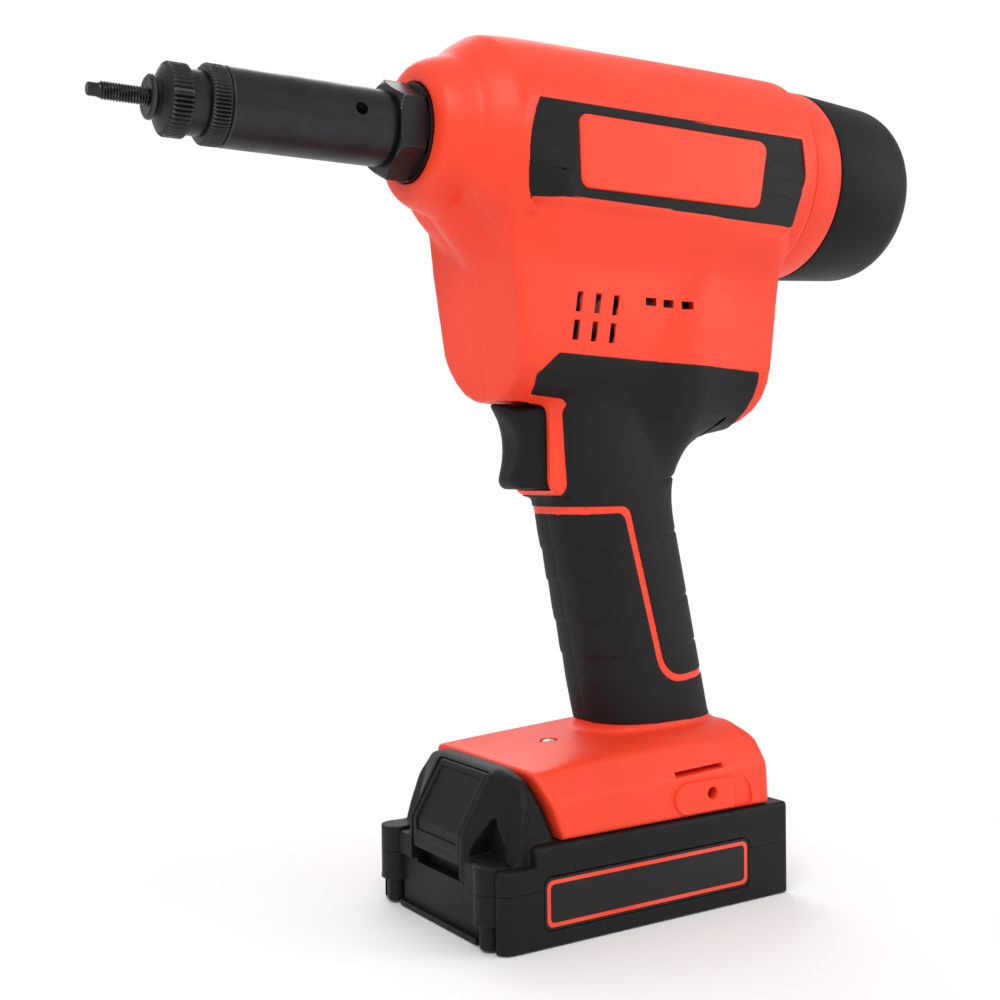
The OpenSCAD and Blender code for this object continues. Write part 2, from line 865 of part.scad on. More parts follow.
// Motor
module motor_can() {
    color(dark_steel) tube_at(motor_x, motor_x + motor_l, motor_r - 2, motor_r, z_motor);
}
module motor_stator() {
    color([0.7, 0.4, 0.2]) difference() {
        rod_x(motor_x + 4, motor_x + motor_l - 4, motor_r - 2, z_motor);
        rod_x(motor_x, motor_x + motor_l, 11.6, z_motor);
        for (i = [0:5])
            translate([0, 0, z_motor]) rotate([60 * i, 0, 0])
                block(motor_x, motor_x + motor_l, -1.6, 1.6, 0, motor_r - 4);
    }
}
bell_t = 3;
module motor_end_bells() {
    color(black) for (x = [motor_x - bell_t, motor_x + motor_l])
        difference() {
            rod_x(x, x + bell_t, motor_r - 1.5, z_motor);
            rod_x(x - 1, x + bell_t + 1, bearing_r, z_motor);
        }
}
module motor_bearings() {
    color(steel) for (x = [motor_x - bell_t, motor_x + motor_l, plate_x])
        tube_at(x, x + bell_t, shaft_r + fit, bearing_r, z_motor);
}
module motor_rotor() {
    color(steel) {
        union() {
            rod_x(motor_x - 21, plate_x + plate_t, shaft_r, z_motor);
            rod_x(motor_x + 5, motor_x + motor_l - 5, 11, z_motor);
        }
    }
}
module motor_pinion() {
    color(steel) difference() {
        gear(pinion_teeth, 90 + 180 / pinion_teeth, gear_x + gear_w + 1, gear_x + gear_w + 8, z_motor);
        rod_x(gear_x, plate_x, shaft_r, z_motor);
    }
}
module motor_fan() {
    color(black) difference() {
        union() {
            rod_x(motor_x - 20, motor_x - 6, 5.5, z_motor);
            rod_x(motor_x - 8, motor_x - 6, 17, z_motor);
            for (i = [0:8])
                translate([0, 0, z_motor]) rotate([40 * i, 0, 0])
                    block(motor_x - 18, motor_x - 7, -0.7, 0.7, 4, 16);
        }
        rod_x(motor_x - 30, motor_x, shaft_r, z_motor);
    }
}

// Controls
switch_x = grip_top_x - 9 + gap;
module trigger() {
    side = [
        [trigger_x - 17, trigger_z1, 1.5],
        [trigger_x - 13, trigger_z1 - 3.5, 5],
        [trigger_x - 9.5, trigger_z1 - 10, 14],
        [trigger_x - 13, trigger_z0, 4],
        [switch_x - trigger_travel - gap, trigger_z0, 0],
        [switch_x - trigger_travel - gap, trigger_z1, 0],
    ];
    color(black) union() {
        prism_y(rounded(side), -trigger_w, trigger_w);
        rod_x(trigger_x - 4, switch_x + 6, 3.5, z_belly - 11);
    }
}
module switch_body() {
    color(black) difference() {
        block(switch_x, switch_x + 25, wall + 3.6 - grip_w / 2, grip_w / 2 - wall - 3.6, z_belly - 24, z_belly - 2);
        rod_x(switch_x - 1, switch_x + 6 + trigger_travel + gap, 3.5 + fit, z_belly - 11);
    }
}
module control_board() {
    color(board_green) along_grip() {
        block(-grip_d / 2 + wall + 0.65, grip_d / 2 - wall - 0.65, -4, -2.4, 26, 72);
        for (i = [0:2])
            block(-12 + 9 * i, -5 + 9 * i, -2.4, 1.6, 40, 56);
    }
}
terminal_x = rail_x1 - 34;
terminal_end = rail_x1 - 9;
module terminal_block() {
    color(black) union() {
        block(terminal_x, terminal_end, -14.5, 14.5, rail_top + 0.6, rail_top + 8);
        block(terminal_x, terminal_end, -17.5, 17.5, rail_top + 2, rail_top + 4);
    }
}
blade_y = [-9, 0, 9];
module terminal_blades() {
    color(brass) for (y = blade_y)
        block(terminal_x + 3, terminal_end - 2, y - 0.4, y + 0.4, rail_top - 5, rail_top + 0.6);
}
module power_leads() {
    lean = 4 * sin(grip_rake);
    low = (rail_top + 8 + 2 * gap - z_foot - lean) / cos(grip_rake);
    top = (z_belly - 24 - 2 * gap - z_foot - lean) / cos(grip_rake);
    color([0.6, 0.1, 0.1]) for (y = [4.5, 8])
        along_grip() translate([4, y, low]) cylinder(h = top - low, r = 1.5);
}
module work_light() {
    color([0.95, 0.95, 0.85]) translate([lamp_x, 0, lamp_z - 3]) union() {
        cylinder(h = 4.6, r = 2.9);
        translate([0, 0, -2]) cylinder(h = 2, r = 4.5);
    }
}
module hook_inserts() {
    color(brass) both_sides() difference() {
        rod_y(hook_x, hook_z, foot_w - 9, foot_w + 0.6, hook_r + 1);
        rod_y(hook_x, hook_z, foot_w - 8, foot_w + 2, hook_r);
    }
}

// Battery pack
hood_top = z_foot - 4.5;
function pack_outline(t) =
    box_outline(hood_x + t, t - pack_w / 2, pack_l / 2 - t, pack_w / 2 - t, pack_r - t);
pack_screws = [for (x = [-1, 1], y = [-1, 1]) [x * (pack_l / 2 - 5), y * (pack_w / 2 - 5)]];
label_z0 = 5;
label_z1 = 20.5;
label_t = 0.6;
module label_space(y0, t) {
    prism_y(rounded(inset(box_outline(-40, label_z0, 40, label_z1, 3), t), 2), y0, pack_w / 2 + 1);
}
module case_posts(z0, z1) {
    for (p = pack_screws)
        translate([p.x, p.y, z0]) cylinder(h = z1 - z0, r = screw_r * 2);
}
module battery_tray() {
    color(black) difference() {
        union() {
            difference() {
                prism_z(rounded(pack_outline(0)), 0, pack_seam);
                prism_z(rounded(pack_outline(pack_wall)), pack_wall, pack_seam + 1);
            }
            case_posts(0.5, pack_seam);
        }
        for (p = pack_screws) {
            translate([p.x, p.y, -1]) cylinder(h = 40, r = screw_r);
            translate([p.x, p.y, -1]) cylinder(h = 4, r = screw_r * 1.8);
        }
        block(hood_x - 1, hood_x + 1.2, -pack_w / 2 + 10, pack_w / 2 - 10, 3, pack_seam + 1);
        both_sides() label_space(pack_w / 2 - label_t, 0);
    }
}
hood_side = [
    [hood_x + 0.5, pack_h - 1.5, 0],
    [foot_x + 6.2, pack_h - 1.5, 0],
    [foot_x + 6.2, pack_h + gap, 0],
    [foot_x + 0.4, hood_top - 2, 0],
    [foot_x + 0.2, hood_top, 0],
    [foot_x - 2.5, hood_top, 2],
    [hood_x + 0.5, pack_h + 0.5, 0],
];
hood_front = [
    [-34, pack_seam, 0],
    [34, pack_seam, 0],
    [34, pack_h + 4, 6],
    [foot_w - 7, hood_top - 1, 5],
    [grip_w / 2, hood_top + 3, 0],
    [-grip_w / 2, hood_top + 3, 0],
    [7 - foot_w, hood_top - 1, 5],
    [-34, pack_h + 4, 6],
];
pocket_x = foot_x - 4;
pocket_z0 = pack_seam + 1.5;
button_z0 = pocket_z0 + button_travel + 2;
pocket_d = 6.5;
ledge_z = pack_h - 3.4;
liner_t = 1.4;
module pocket_box(x, t) {
    w = button_w + gap + t;
    block(x, hood_x + pocket_d + t, -w, w, pocket_z0 - t, pack_h);
    block(x, pocket_x + t, -w, w, ledge_z - t, pack_h);
}
module battery_cover() {
    deck = [pack_seam, pack_h];
    color(black) difference() {
        union() {
            difference() {
                prism_z(rounded(pack_outline(0)), deck[0], deck[1]);
                prism_z(rounded(pack_outline(pack_wall)), deck[0] - 1, deck[1] - pack_wall);
            }
            intersection() {
                prism_y(rounded(hood_side), -40, 40);
                prism_x(rounded(hood_front), hood_x, foot_x + 10);
            }
            case_posts(pack_seam, pack_h - 1);
            pocket_box(hood_x + 1, liner_t);
            block(rail_x0 - 2, rail_x1, -neck_w, neck_w, pack_h - 1, pack_h + rail_t + 1);
            block(rail_x0 - 2, rail_x1, -head_w, head_w, pack_h + rail_t, rail_top);
        }
        pocket_box(hood_x - 1, 0);
        block(hood_x - 1, pocket_x, -button_w - gap, button_w + gap, ledge_z, hood_top - 2);
        block(pocket_x - 1, foot_x + 3, -6.3, 6.3, rail_top + 0.5 - button_travel, hood_top - 3);
        for (y = blade_y)
            block(terminal_x, rail_x1 + 1, y - 1, y + 1, rail_top - 7, rail_top + 1);
        for (p = pack_screws)
            translate([p.x, p.y, pack_seam - 1]) cylinder(h = pack_h - pack_seam - 2, r = screw_r);
        both_sides() label_space(pack_w / 2 - label_t, 0);
    }
}
cell_l = pack_w - 2 * (pack_wall + cell_room);
cell_pitch = cell_d + 1.2;
cell_z = pack_wall + 1.2 + cell_d / 2;
module battery_cells() {
    color([0.25, 0.5, 0.7]) for (i = [-2:2])
        rod_y(i * cell_pitch, cell_z, -cell_l / 2, cell_l / 2, cell_d / 2);
}
module cell_holders() {
    color(black) both_sides() difference() {
        block(-pack_l / 2 + 6, pack_l / 2 - 6, 17, 21, pack_wall + 0.1, pack_wall + cell_d + 2.4);
        for (i = [-2:2])
            rod_y(i * cell_pitch, cell_z, 16, 22, cell_d / 2 + 0.1);
    }
}
module cell_links() {
    color(steel) both_sides() for (i = [-2:2:1])
        block(i * cell_pitch - 4, (i + 1) * cell_pitch + 4, cell_l / 2 + 0.05, cell_l / 2 + 0.4,
            cell_z - 3.5, cell_z + 3.5);
}
board_z = pack_wall + cell_d + 2.6;
module battery_board() {
    color(board_green) block(-42, 42, -27, 27, board_z, board_z + 1.6);
}
module battery_terminals() {
    color(brass) for (y = blade_y)
        block(terminal_x + 1, terminal_end, y - 0.9, y + 0.9, rail_top - 7, rail_top - 5.6);
}
module battery_screws() {
    color(dark_steel) for (p = pack_screws) {
        translate([p.x, p.y, 3]) cylinder(h = pack_h - 8, r = screw_r);
        translate([p.x, p.y, 0.8]) cylinder(h = 2.2, r = screw_r * 1.7);
    }
}
module battery_labels() {
    color(black) both_sides() intersection() {
        label_space(pack_w / 2 - label_t, gap / 2);
        block(-60, 60, 0, pack_w / 2 - 0.05, 0, 40);
    }
}
module release_button() {
    side = [
        [hood_x + 0.2, button_z0, 1],
        [hood_x + pocket_d - gap, button_z0, 0],
        [hood_x + pocket_d - gap, ledge_z + button_travel + gap, 0],
        [pocket_x - gap, ledge_z + button_travel + gap, 0],
        [pocket_x - gap, hood_top - 2 - gap, 0],
        [foot_x - 5.6, hood_top - 2 - gap, 2],
        [hood_x + 0.2, pack_h - 2, 6],
    ];
    color(black) prism_y(rounded(side), -button_w, button_w);
}
module battery_latch() {
    color(steel) block(pocket_x - gap, foot_x + 2, -6, 6, hood_top - 6.5, hood_top - 3.3);
}

mandrel();
anvil();
lock_ring();
barrel();
nose_block();
pull_head();
draw_spindle();
draw_tube();
thrust_bearing();
nut_bearing();
ball_nut();
nut_gear();
idler_gear();
idler_pin();
gear_plate();
motor_can();
motor_stator();
motor_end_bells();
motor_bearings();
motor_rotor();
motor_pinion();
motor_fan();
housing_left();
housing_right();
housing_screws();
grip_back_left();
grip_back_right();
grip_front_left();
grip_front_right();
side_panel_left();
side_panel_right();
badge_left();
badge_right();
rear_ring();
rear_cap();
trigger();
switch_body();
control_board();
terminal_block();
terminal_blades();
power_leads();
work_light();
hook_inserts();
battery_tray();
battery_cover();
battery_cells();
cell_holders();
cell_links();
battery_board();
battery_terminals();
battery_screws();
battery_labels();
release_button();
battery_latch();
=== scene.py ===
import math

import bmesh
import bpy
import numpy as np
from mathutils import Matrix, Vector


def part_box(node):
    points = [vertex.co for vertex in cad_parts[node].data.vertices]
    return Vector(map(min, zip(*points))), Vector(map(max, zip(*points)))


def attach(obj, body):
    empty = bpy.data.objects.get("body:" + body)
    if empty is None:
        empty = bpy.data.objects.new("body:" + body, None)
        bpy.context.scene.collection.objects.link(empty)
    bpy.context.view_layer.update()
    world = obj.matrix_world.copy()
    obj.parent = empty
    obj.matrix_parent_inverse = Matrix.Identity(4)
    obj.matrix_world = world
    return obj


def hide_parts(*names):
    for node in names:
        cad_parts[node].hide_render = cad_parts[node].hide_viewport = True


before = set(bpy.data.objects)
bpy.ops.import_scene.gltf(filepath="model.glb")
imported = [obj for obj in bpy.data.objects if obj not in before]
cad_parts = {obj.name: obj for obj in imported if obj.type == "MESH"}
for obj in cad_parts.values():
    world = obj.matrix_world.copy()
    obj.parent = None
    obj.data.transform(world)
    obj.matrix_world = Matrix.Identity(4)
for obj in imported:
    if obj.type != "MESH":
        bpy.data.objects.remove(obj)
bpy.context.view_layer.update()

# Camera
# It stands a little above the middle of the tool, ahead of it and on its left side, and looks
# slightly down; lens, turn and tilt are those that the photograph was taken with.
def placed(name, data):
    thing = bpy.data.objects.new(name, data)
    bpy.context.scene.collection.objects.link(thing)
    return thing


focal_px, centre_px, image_px, sensor_mm = 1380.13, (506.17, 500.66), 1000, 36
station = (-0.26661, -0.37055, 0.1405)
yaw, pitch, roll = math.radians(32.68), math.radians(-1.25), math.radians(-0.67)
look = Vector((math.sin(yaw) * math.cos(pitch), math.cos(yaw) * math.cos(pitch), math.sin(pitch)))
level = look.cross(Vector((0, 0, 1))).normalized()
upright = level.cross(look)
right = math.cos(roll) * level + math.sin(roll) * upright
up = math.cos(roll) * upright - math.sin(roll) * level
camera = placed("camera", bpy.data.cameras.new("camera"))
camera.matrix_world = Matrix.Translation(station) @ Matrix((right, up, -look)).transposed().to_4x4()
camera.data.sensor_width = sensor_mm
camera.data.lens = sensor_mm * focal_px / image_px
camera.data.shift_x = (image_px / 2 - centre_px[0]) / image_px
camera.data.shift_y = (centre_px[1] - image_px / 2) / image_px
camera.data.clip_start, camera.data.clip_end = 0.01, 50
bpy.context.scene.camera = camera
bpy.context.scene.view_settings.view_transform = "Standard"

# Studio
# A white sweep under the tool that takes its shadow and fades into the white background, a broad
# soft box above the camera, two smaller ones on the right and behind, and an even white room.
def add_node(tree, kind, feeds=None, **settings):
    """A new shader node, with the sockets or the values that go into its inputs."""
    new = tree.nodes.new(kind)
    for label, value in settings.items():
        setattr(new, label, value)
    for label, feed in (feeds or {}).items():
        if isinstance(feed, bpy.types.NodeSocket):
            tree.links.new(feed, new.inputs[label])
        else:
            new.inputs[label].default_value = feed
    return new.outputs


def emptied(block):
    block.use_nodes = True
    block.node_tree.nodes.clear()
    return block.node_tree


def spread(tree, value, low, high, start=0, end=1):
    """Maps a value between low and high onto the range from start to end."""
    feeds = {"Value": value, "From Min": low, "From Max": high, "To Min": start, "To Max": end}
    return add_node(tree, "ShaderNodeMapRange", feeds)["Result"]


sweep_half, sweep_z, fade_from, fade_to = 4, -0.0004, 0.07, 0.2
white, paper_white, room_white = (1, 1, 1, 1), (0.96, 0.96, 0.96, 1), 0.66
quarters = ((-1, -1), (1, -1), (1, 1), (-1, 1))
sweep = bpy.data.meshes.new("sweep")
sweep.from_pydata([(i * sweep_half, j * sweep_half, sweep_z) for i, j in quarters], [], [(0, 1, 2, 3)])
floor = placed("floor", sweep)
paper = bpy.data.materials.new("white_paper")
tree = emptied(paper)
where = add_node(tree, "ShaderNodeTexCoord")["Object"]
reach = add_node(tree, "ShaderNodeVectorMath", {0: where}, operation="LENGTH")["Value"]
matt = add_node(tree, "ShaderNodeBsdfDiffuse", {"Color": paper_white})[0]
glow = add_node(tree, "ShaderNodeEmission", {"Color": white})[0]
fade = spread(tree, reach, fade_from, fade_to)
faded = add_node(tree, "ShaderNodeMixShader", {"Fac": fade, 1: matt, 2: glow})[0]
add_node(tree, "ShaderNodeOutputMaterial", {"Surface": faded})
sweep.materials.append(paper)

room = bpy.data.worlds.new("white_room")
bpy.context.scene.world = room
tree = emptied(room)
ray = add_node(tree, "ShaderNodeLightPath")
rays = {0: ray["Is Camera Ray"], 1: ray["Is Transmission Ray"]}
seen = add_node(tree, "ShaderNodeMath", rays, operation="MAXIMUM")[0]
light = spread(tree, seen, 0, 1, room_white)
sky = add_node(tree, "ShaderNodeBackground", {"Color": white, "Strength": light})[0]
add_node(tree, "ShaderNodeOutputWorld", {"Surface": sky})


def soft_box(name, place, aim, size, watts):
    lamp = bpy.data.lights.new(name, "AREA")
    lamp.shape, lamp.size, lamp.size_y, lamp.energy = "RECTANGLE", size[0], size[1], watts
    stand = placed(name, lamp)
    stand.location = place
    stand.rotation_euler = (Vector(aim) - Vector(place)).to_track_quat("-Z", "Y").to_euler()


soft_box("key_box", (-0.75, -0.8, 1.15), (0, 0, 0.12), (0.9, 0.7), 9)
soft_box("side_box", (0.9, -0.75, 0.55), (0, 0, 0.15), (0.5, 0.9), 3.2)
soft_box("back_box", (0.3, 0.9, 0.8), (0, 0, 0.15), (0.8, 0.6), 4)

# Housing shells
# Two halves of glass-filled nylon, moulded in orange with a fine spark-eroded grain, joined at the
# middle plane and screwed from the right. They are made as one solid form, hollowed and cut.
def mm(node):
    """The low and high corner of a construction node's box."""
    return np.array(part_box(node)) * 1000


def fuse(a, b, k):
    share = np.maximum(k - np.abs(a - b), 0) / k
    return np.minimum(a, b) - share * share * k / 4


def trim(a, b, k):
    return -fuse(-a, -b, k)


def within(*fields):
    """The space that lies inside every one of the fields."""
    common = fields[0]
    for field in fields[1:]:
        common = np.maximum(common, field)
    return common


def without(f, *fields):
    """What is left of f when the space inside all of the fields is cut away."""
    return np.maximum(f, -within(*fields))


def ramp(value, start, end):
    t = np.clip((value - start) / (end - start), 0, 1)
    return t * t * (3 - 2 * t)


def rounded(corners, n=6):
    """Points of an outline whose corners (u, v, radius) are turned into arcs."""
    points, count = [], len(corners)
    for i, (u, v, radius) in enumerate(corners):
        q = np.array((u, v), float)
        a = np.array(corners[i - 1][:2], float) - q
        b = np.array(corners[(i + 1) % count][:2], float) - q
        a, b = a / np.linalg.norm(a), b / np.linalg.norm(b)
        if radius <= 0:
            points.append(q)
            continue
        half = math.acos(np.clip(a @ b, -1, 1)) / 2
        centre = q + (a + b) / np.linalg.norm(a + b) * radius / math.sin(half)
        start = q + a * radius / math.tan(half) - centre
        end = q + b * radius / math.tan(half) - centre
        first = math.atan2(start[1], start[0])
        turn = (math.atan2(end[1], end[0]) - first + 3 * math.pi) % (2 * math.pi) - math.pi
        for j in range(n + 1):
            angle = first + turn * j / n
            points.append(centre + radius * np.array((math.cos(angle), math.sin(angle))))
    return points


def drawn(corners, fine=0.25):
    """Distance from a rounded outline, below zero inside it, read between the points of a table."""
    points = np.array(rounded(corners))
    low, high = points.min(0) - 30, points.max(0) + 30
    us, vs = np.arange(low[0], high[0], fine), np.arange(low[1], high[1], fine)
    u, v = us[:, None], vs[None, :]
    nearest, inside = np.inf, False
    for (au, av), (bu, bv) in zip([points[-1], *points[:-1]], points):
        eu, ev = bu - au, bv - av
        t = np.clip(((u - au) * eu + (v - av) * ev) / (eu * eu + ev * ev + 1e-12), 0, 1)
        nearest = np.minimum(nearest, (u - au - eu * t) ** 2 + (v - av - ev * t) ** 2)
        if abs(ev) > 1e-9:
            inside = inside ^ (((av <= v) != (bv <= v)) & (au + (v - av) * eu / ev > u))
    table = np.where(inside, -1, 1) * np.sqrt(nearest)

    def distance(u, v):
        s = np.clip((u - low[0]) / fine, 0, len(us) - 1.001)
        t = np.clip((v - low[1]) / fine, 0, len(vs) - 1.001)
        beyond = np.abs(u - low[0] - s * fine) + np.abs(v - low[1] - t * fine)
        i, j = s.astype(int), t.astype(int)
        s, t = s - i, t - j
        first = (1 - s) * table[i, j] + s * table[i + 1, j]
        second = (1 - s) * table[i, j + 1] + s * table[i + 1, j + 1]
        return (1 - t) * first + t * second + beyond * (beyond > 1e-6)
    return distance


def box_around(x, y, z, low, high):
    return within(*(np.abs(c - (l + h) / 2) - (h - l) / 2 for c, l, h in zip((x, y, z), low, high)))


def profile(stations):
    """A smooth run of radii through (x, radius) stations, and the share of the slope."""
    xs, rs = np.array(stations, float).T
    rise = np.diff(rs) / np.diff(xs)
    even = rise[:-1] * rise[1:]
    slope = np.zeros(len(xs))
    slope[1:-1] = np.where(even > 0, 2 * even / (rise[:-1] + rise[1:] + (even <= 0)), 0)
    slope[0], slope[-1] = rise[0], rise[-1]
    fine = np.linspace(xs[0], xs[-1], 400)
    i = np.clip(np.searchsorted(xs, fine) - 1, 0, len(xs) - 2)
    h = xs[i + 1] - xs[i]
    t = (fine - xs[i]) / h
    radii = ((1 + 2 * t) * (1 - t) ** 2 * rs[i] + t * (1 - t) ** 2 * h * slope[i]
             + t * t * (3 - 2 * t) * rs[i + 1] + t * t * (t - 1) * h * slope[i + 1])
    share = 1 / np.sqrt(1 + np.gradient(radii, fine) ** 2)
    return lambda x: (np.interp(x, fine, radii), np.interp(x, fine, share))


def moulding(name, field, low, high, step, keep):
    """A closed mesh round the space where field (in mm) is below zero, thinned out."""
    side, batch, slack, firm = 8, 400, 1.25, 0.12
    start = np.array(low, float) - 1.5 * step
    blocks = [int(math.ceil((h - l + 3 * step) / step / side)) for l, h in zip(low, high)]
    half = (side - 1) / 2 * step
    middles = [s + step * np.arange(0, n * side, side) + half for s, n in zip(start, blocks)]
    far = np.broadcast_to(field(*np.ix_(*middles)), blocks)
    f = np.repeat(np.repeat(np.repeat(far, side, 0), side, 1), side, 2).astype(np.float32)
    near = np.argwhere(np.abs(far) < slack * math.sqrt(3) * (half + step))
    span = step * np.arange(side)
    for chunk in np.array_split(near, len(near) // batch + 1):
        x, y, z = (start + chunk * side * step).T[:, :, None] + span
        values = field(x[:, :, None, None], y[:, None, :, None], z[:, None, None, :])
        values = np.broadcast_to(values, (len(chunk), side, side, side))
        for (i, j, k), value in zip(chunk * side, values):
            f[i:i + side, j:j + side, k:k + side] = value
    cells, places, slopes, loops = [], [], [], []
    shape = f.shape
    for axis in range(3):
        u, v = np.eye(3, dtype=int)[[(axis + 1) % 3, (axis + 2) % 3]]
        a = np.take(f, range(shape[axis] - 1), axis)
        b = np.take(f, range(1, shape[axis]), axis)
        at = np.argwhere((a < 0) != (b < 0))
        fa, fb = a[tuple(at.T)].astype(float), b[tuple(at.T)].astype(float)
        inward = fa > 0
        near_end, far_end = np.zeros(len(at)), np.ones(len(at))
        point = at * step + start
        for _ in range(4):
            t = near_end + (far_end - near_end) * np.clip(fa / (fa - fb), 0.04, 0.96)
            q = point.copy()
            q[:, axis] += t * step
            value = field(*q.T)
            same = (value < 0) == (fa < 0)
            near_end, fa = np.where(same, t, near_end), np.where(same, value, fa)
            far_end, fb = np.where(same, far_end, t), np.where(same, fb, value)
        h = 0.02
        slope = np.stack([(field(*(q + h * e).T) - field(*(q - h * e).T)) for e in np.eye(3)], 1)
        slope /= np.linalg.norm(slope, axis=1)[:, None] + 1e-9
        ring = [np.ravel_multi_index(tuple(cell.T), shape) for cell in (at, at - u, at - u - v, at - v)]
        quad = np.stack(ring, 1)
        quad[inward] = quad[inward][:, ::-1]
        loops.append(quad)
        cells.extend(ring)
        places.extend([q] * 4)
        slopes.extend([slope] * 4)
    ids, index = np.unique(np.concatenate(cells), return_inverse=True)
    places, slopes = np.concatenate(places), np.concatenate(slopes)
    quads = np.searchsorted(ids, np.concatenate(loops))
    count = np.bincount(index)
    p = np.stack([np.bincount(index, places[:, i]) / count for i in range(3)], 1)
    off = np.sum(slopes * (places - p[index]), 1)
    pairs = [(i, j) for i in range(3) for j in range(3)]
    planes = np.stack([np.bincount(index, slopes[:, i] * slopes[:, j]) for i, j in pairs], 1)
    pull = np.stack([np.bincount(index, slopes[:, i] * off) for i in range(3)], 1)
    move = np.linalg.solve(planes.reshape(-1, 3, 3) + firm * np.eye(3), pull[:, :, None])[:, :, 0]
    length = np.linalg.norm(move, axis=1)[:, None]
    p += move * np.minimum(1, 0.9 * step / (length + 1e-9))
    mesh = bpy.data.meshes.new(name)
    mesh.from_pydata((p / 1000).tolist(), [], quads.tolist())
    mesh.update()
    piece = placed(name, mesh)
    piece.modifiers.new("thin", "DECIMATE").ratio = keep
    settle(piece)
    piece.data.shade_smooth()
    piece.data.set_sharp_from_angle(angle=math.radians(42))
    return piece


def settle(piece):
    """Applies a piece's modifiers to its mesh."""
    solid = bpy.data.meshes.new_from_object(
        piece.evaluated_get(bpy.context.evaluated_depsgraph_get()))
    piece.modifiers.clear()
    piece.data = solid


shell_low, shell_high = mm("housing_left")
cap_low, cap_high = mm("rear_cap")
barrel_low, barrel_high = mm("barrel")
panel_low, panel_high = mm("side_panel_right")
panel_t = panel_high[1] - panel_low[1]
foot_low, tail_x = shell_low[2], shell_high[0]
z_body = (cap_low[2] + cap_high[2]) / 2
z_axis = (barrel_low[2] + barrel_high[2]) / 2
body_r = shell_high[2] - z_body
z_foot, z_belly, grip_x = 55, 159, 25.05
grip_rake, grip_d, grip_w = math.radians(12.3), 45.5, 35.4
foot_x, foot_l, foot_w = -40, 89.6, 35.7
wall, skin_t, groove, collar_bore = 3.6, 2, 2.6, 15.2
body_run = profile([
    (-60, 20), (-55, 23), (-52.2, 25.2), (-49.8, 28), (-46.5, 30.8), (-42, 33.2), (-27, 34.2),
    (-1, body_r + 0.1), (tail_x - 3, body_r + 0.9), (tail_x, body_r - 0.5), (tail_x + 4, body_r - 3),
])
lip_x = -62.4
collar_run = profile([
    (lip_x - 0.6, 18), (lip_x, 19), (lip_x + 1, 20.6), (lip_x + 3, 22), (lip_x + 6, 23.2),
    (lip_x + 9, 23.9), (-42, 24),
])
belly_run = (
    (-60, 164), (-36.2, z_belly + 3.3), (-30, z_belly + 1.6), (-20, z_belly + 0.6),
    (-12, z_belly + 0.2), (46, z_belly - 4.8), (90, z_belly - 6.8),
)
keel_side = drawn([
    (-36.6, 150, 0), (46, 150, 0), (60.2, 151.4, 15), (67.6, 214, 8), (68.6, 250, 0), (-42, 250, 0),
    (-40.8, 204, 2), (-38.6, 187, 40), (-36.6, 170, 30),
])
keel_section = drawn([
    (-80, 0, 0), (23.4, 0, 23), (26.6, 44, 18), (34.4, 62.5, 3), (33, 72, 3), (20, 80, 0), (-80, 80, 0),
])
panel_side = drawn([
    (-39.2, 221.4, 1), (62.7, 220, 1.5), (69.5, 237, 12), (67.8, 250.3, 1.5),
    (-37.8, 249.9, 1), (-46.2, 235.2, 36),
])
foot_back = foot_x + foot_l
foot_side = drawn([
    (foot_x + 7, foot_low, 0), (foot_back, foot_low, 0), (foot_back, 50, 2),
    (foot_back - 3.8, z_foot + 1, 1.5), (grip_x - 12, z_foot, 12), (foot_x + 1, z_foot - 5.2, 1.5),
])
foot_front = drawn([
    (-60, foot_low - 3, 0), (foot_w + 1.1, foot_low - 3, 0), (foot_w - 0.3, 42.5, 6),
    (foot_w - 7, z_foot - 3.6, 5), (grip_w / 2 + 1, z_foot + 1, 6), (-60, z_foot + 1, 0),
])
surround_side = drawn([(-19.3, 165, 0), (-19.3, 132, 5.5), (-6, 132, 0), (-6, 165, 0)])


def flank(x, z):
    """Half-width of the flat side, which bends in at its lower front corner."""
    return panel_high[1] - 5 * ramp(-x, 26, 46) * ramp(-z, -234, -219)


def grip_field(x, a, z):
    u = (x - grip_x) * math.cos(grip_rake) + (z - z_foot) * math.sin(grip_rake)
    along = (z - z_foot) * math.cos(grip_rake) - (x - grip_x) * math.sin(grip_rake)
    p, q = np.abs(u) / (grip_d / 2) + 1e-4, a / (grip_w / 2) + 1e-4
    s = (p ** 2.5 + q ** 2.5) ** 0.4
    slope = s ** -1.5 * np.sqrt((p ** 1.5 / (grip_d / 2)) ** 2 + (q ** 1.5 / (grip_w / 2)) ** 2)
    return trim((s - 1) / slope, np.abs(along - 53) - 64, 2)


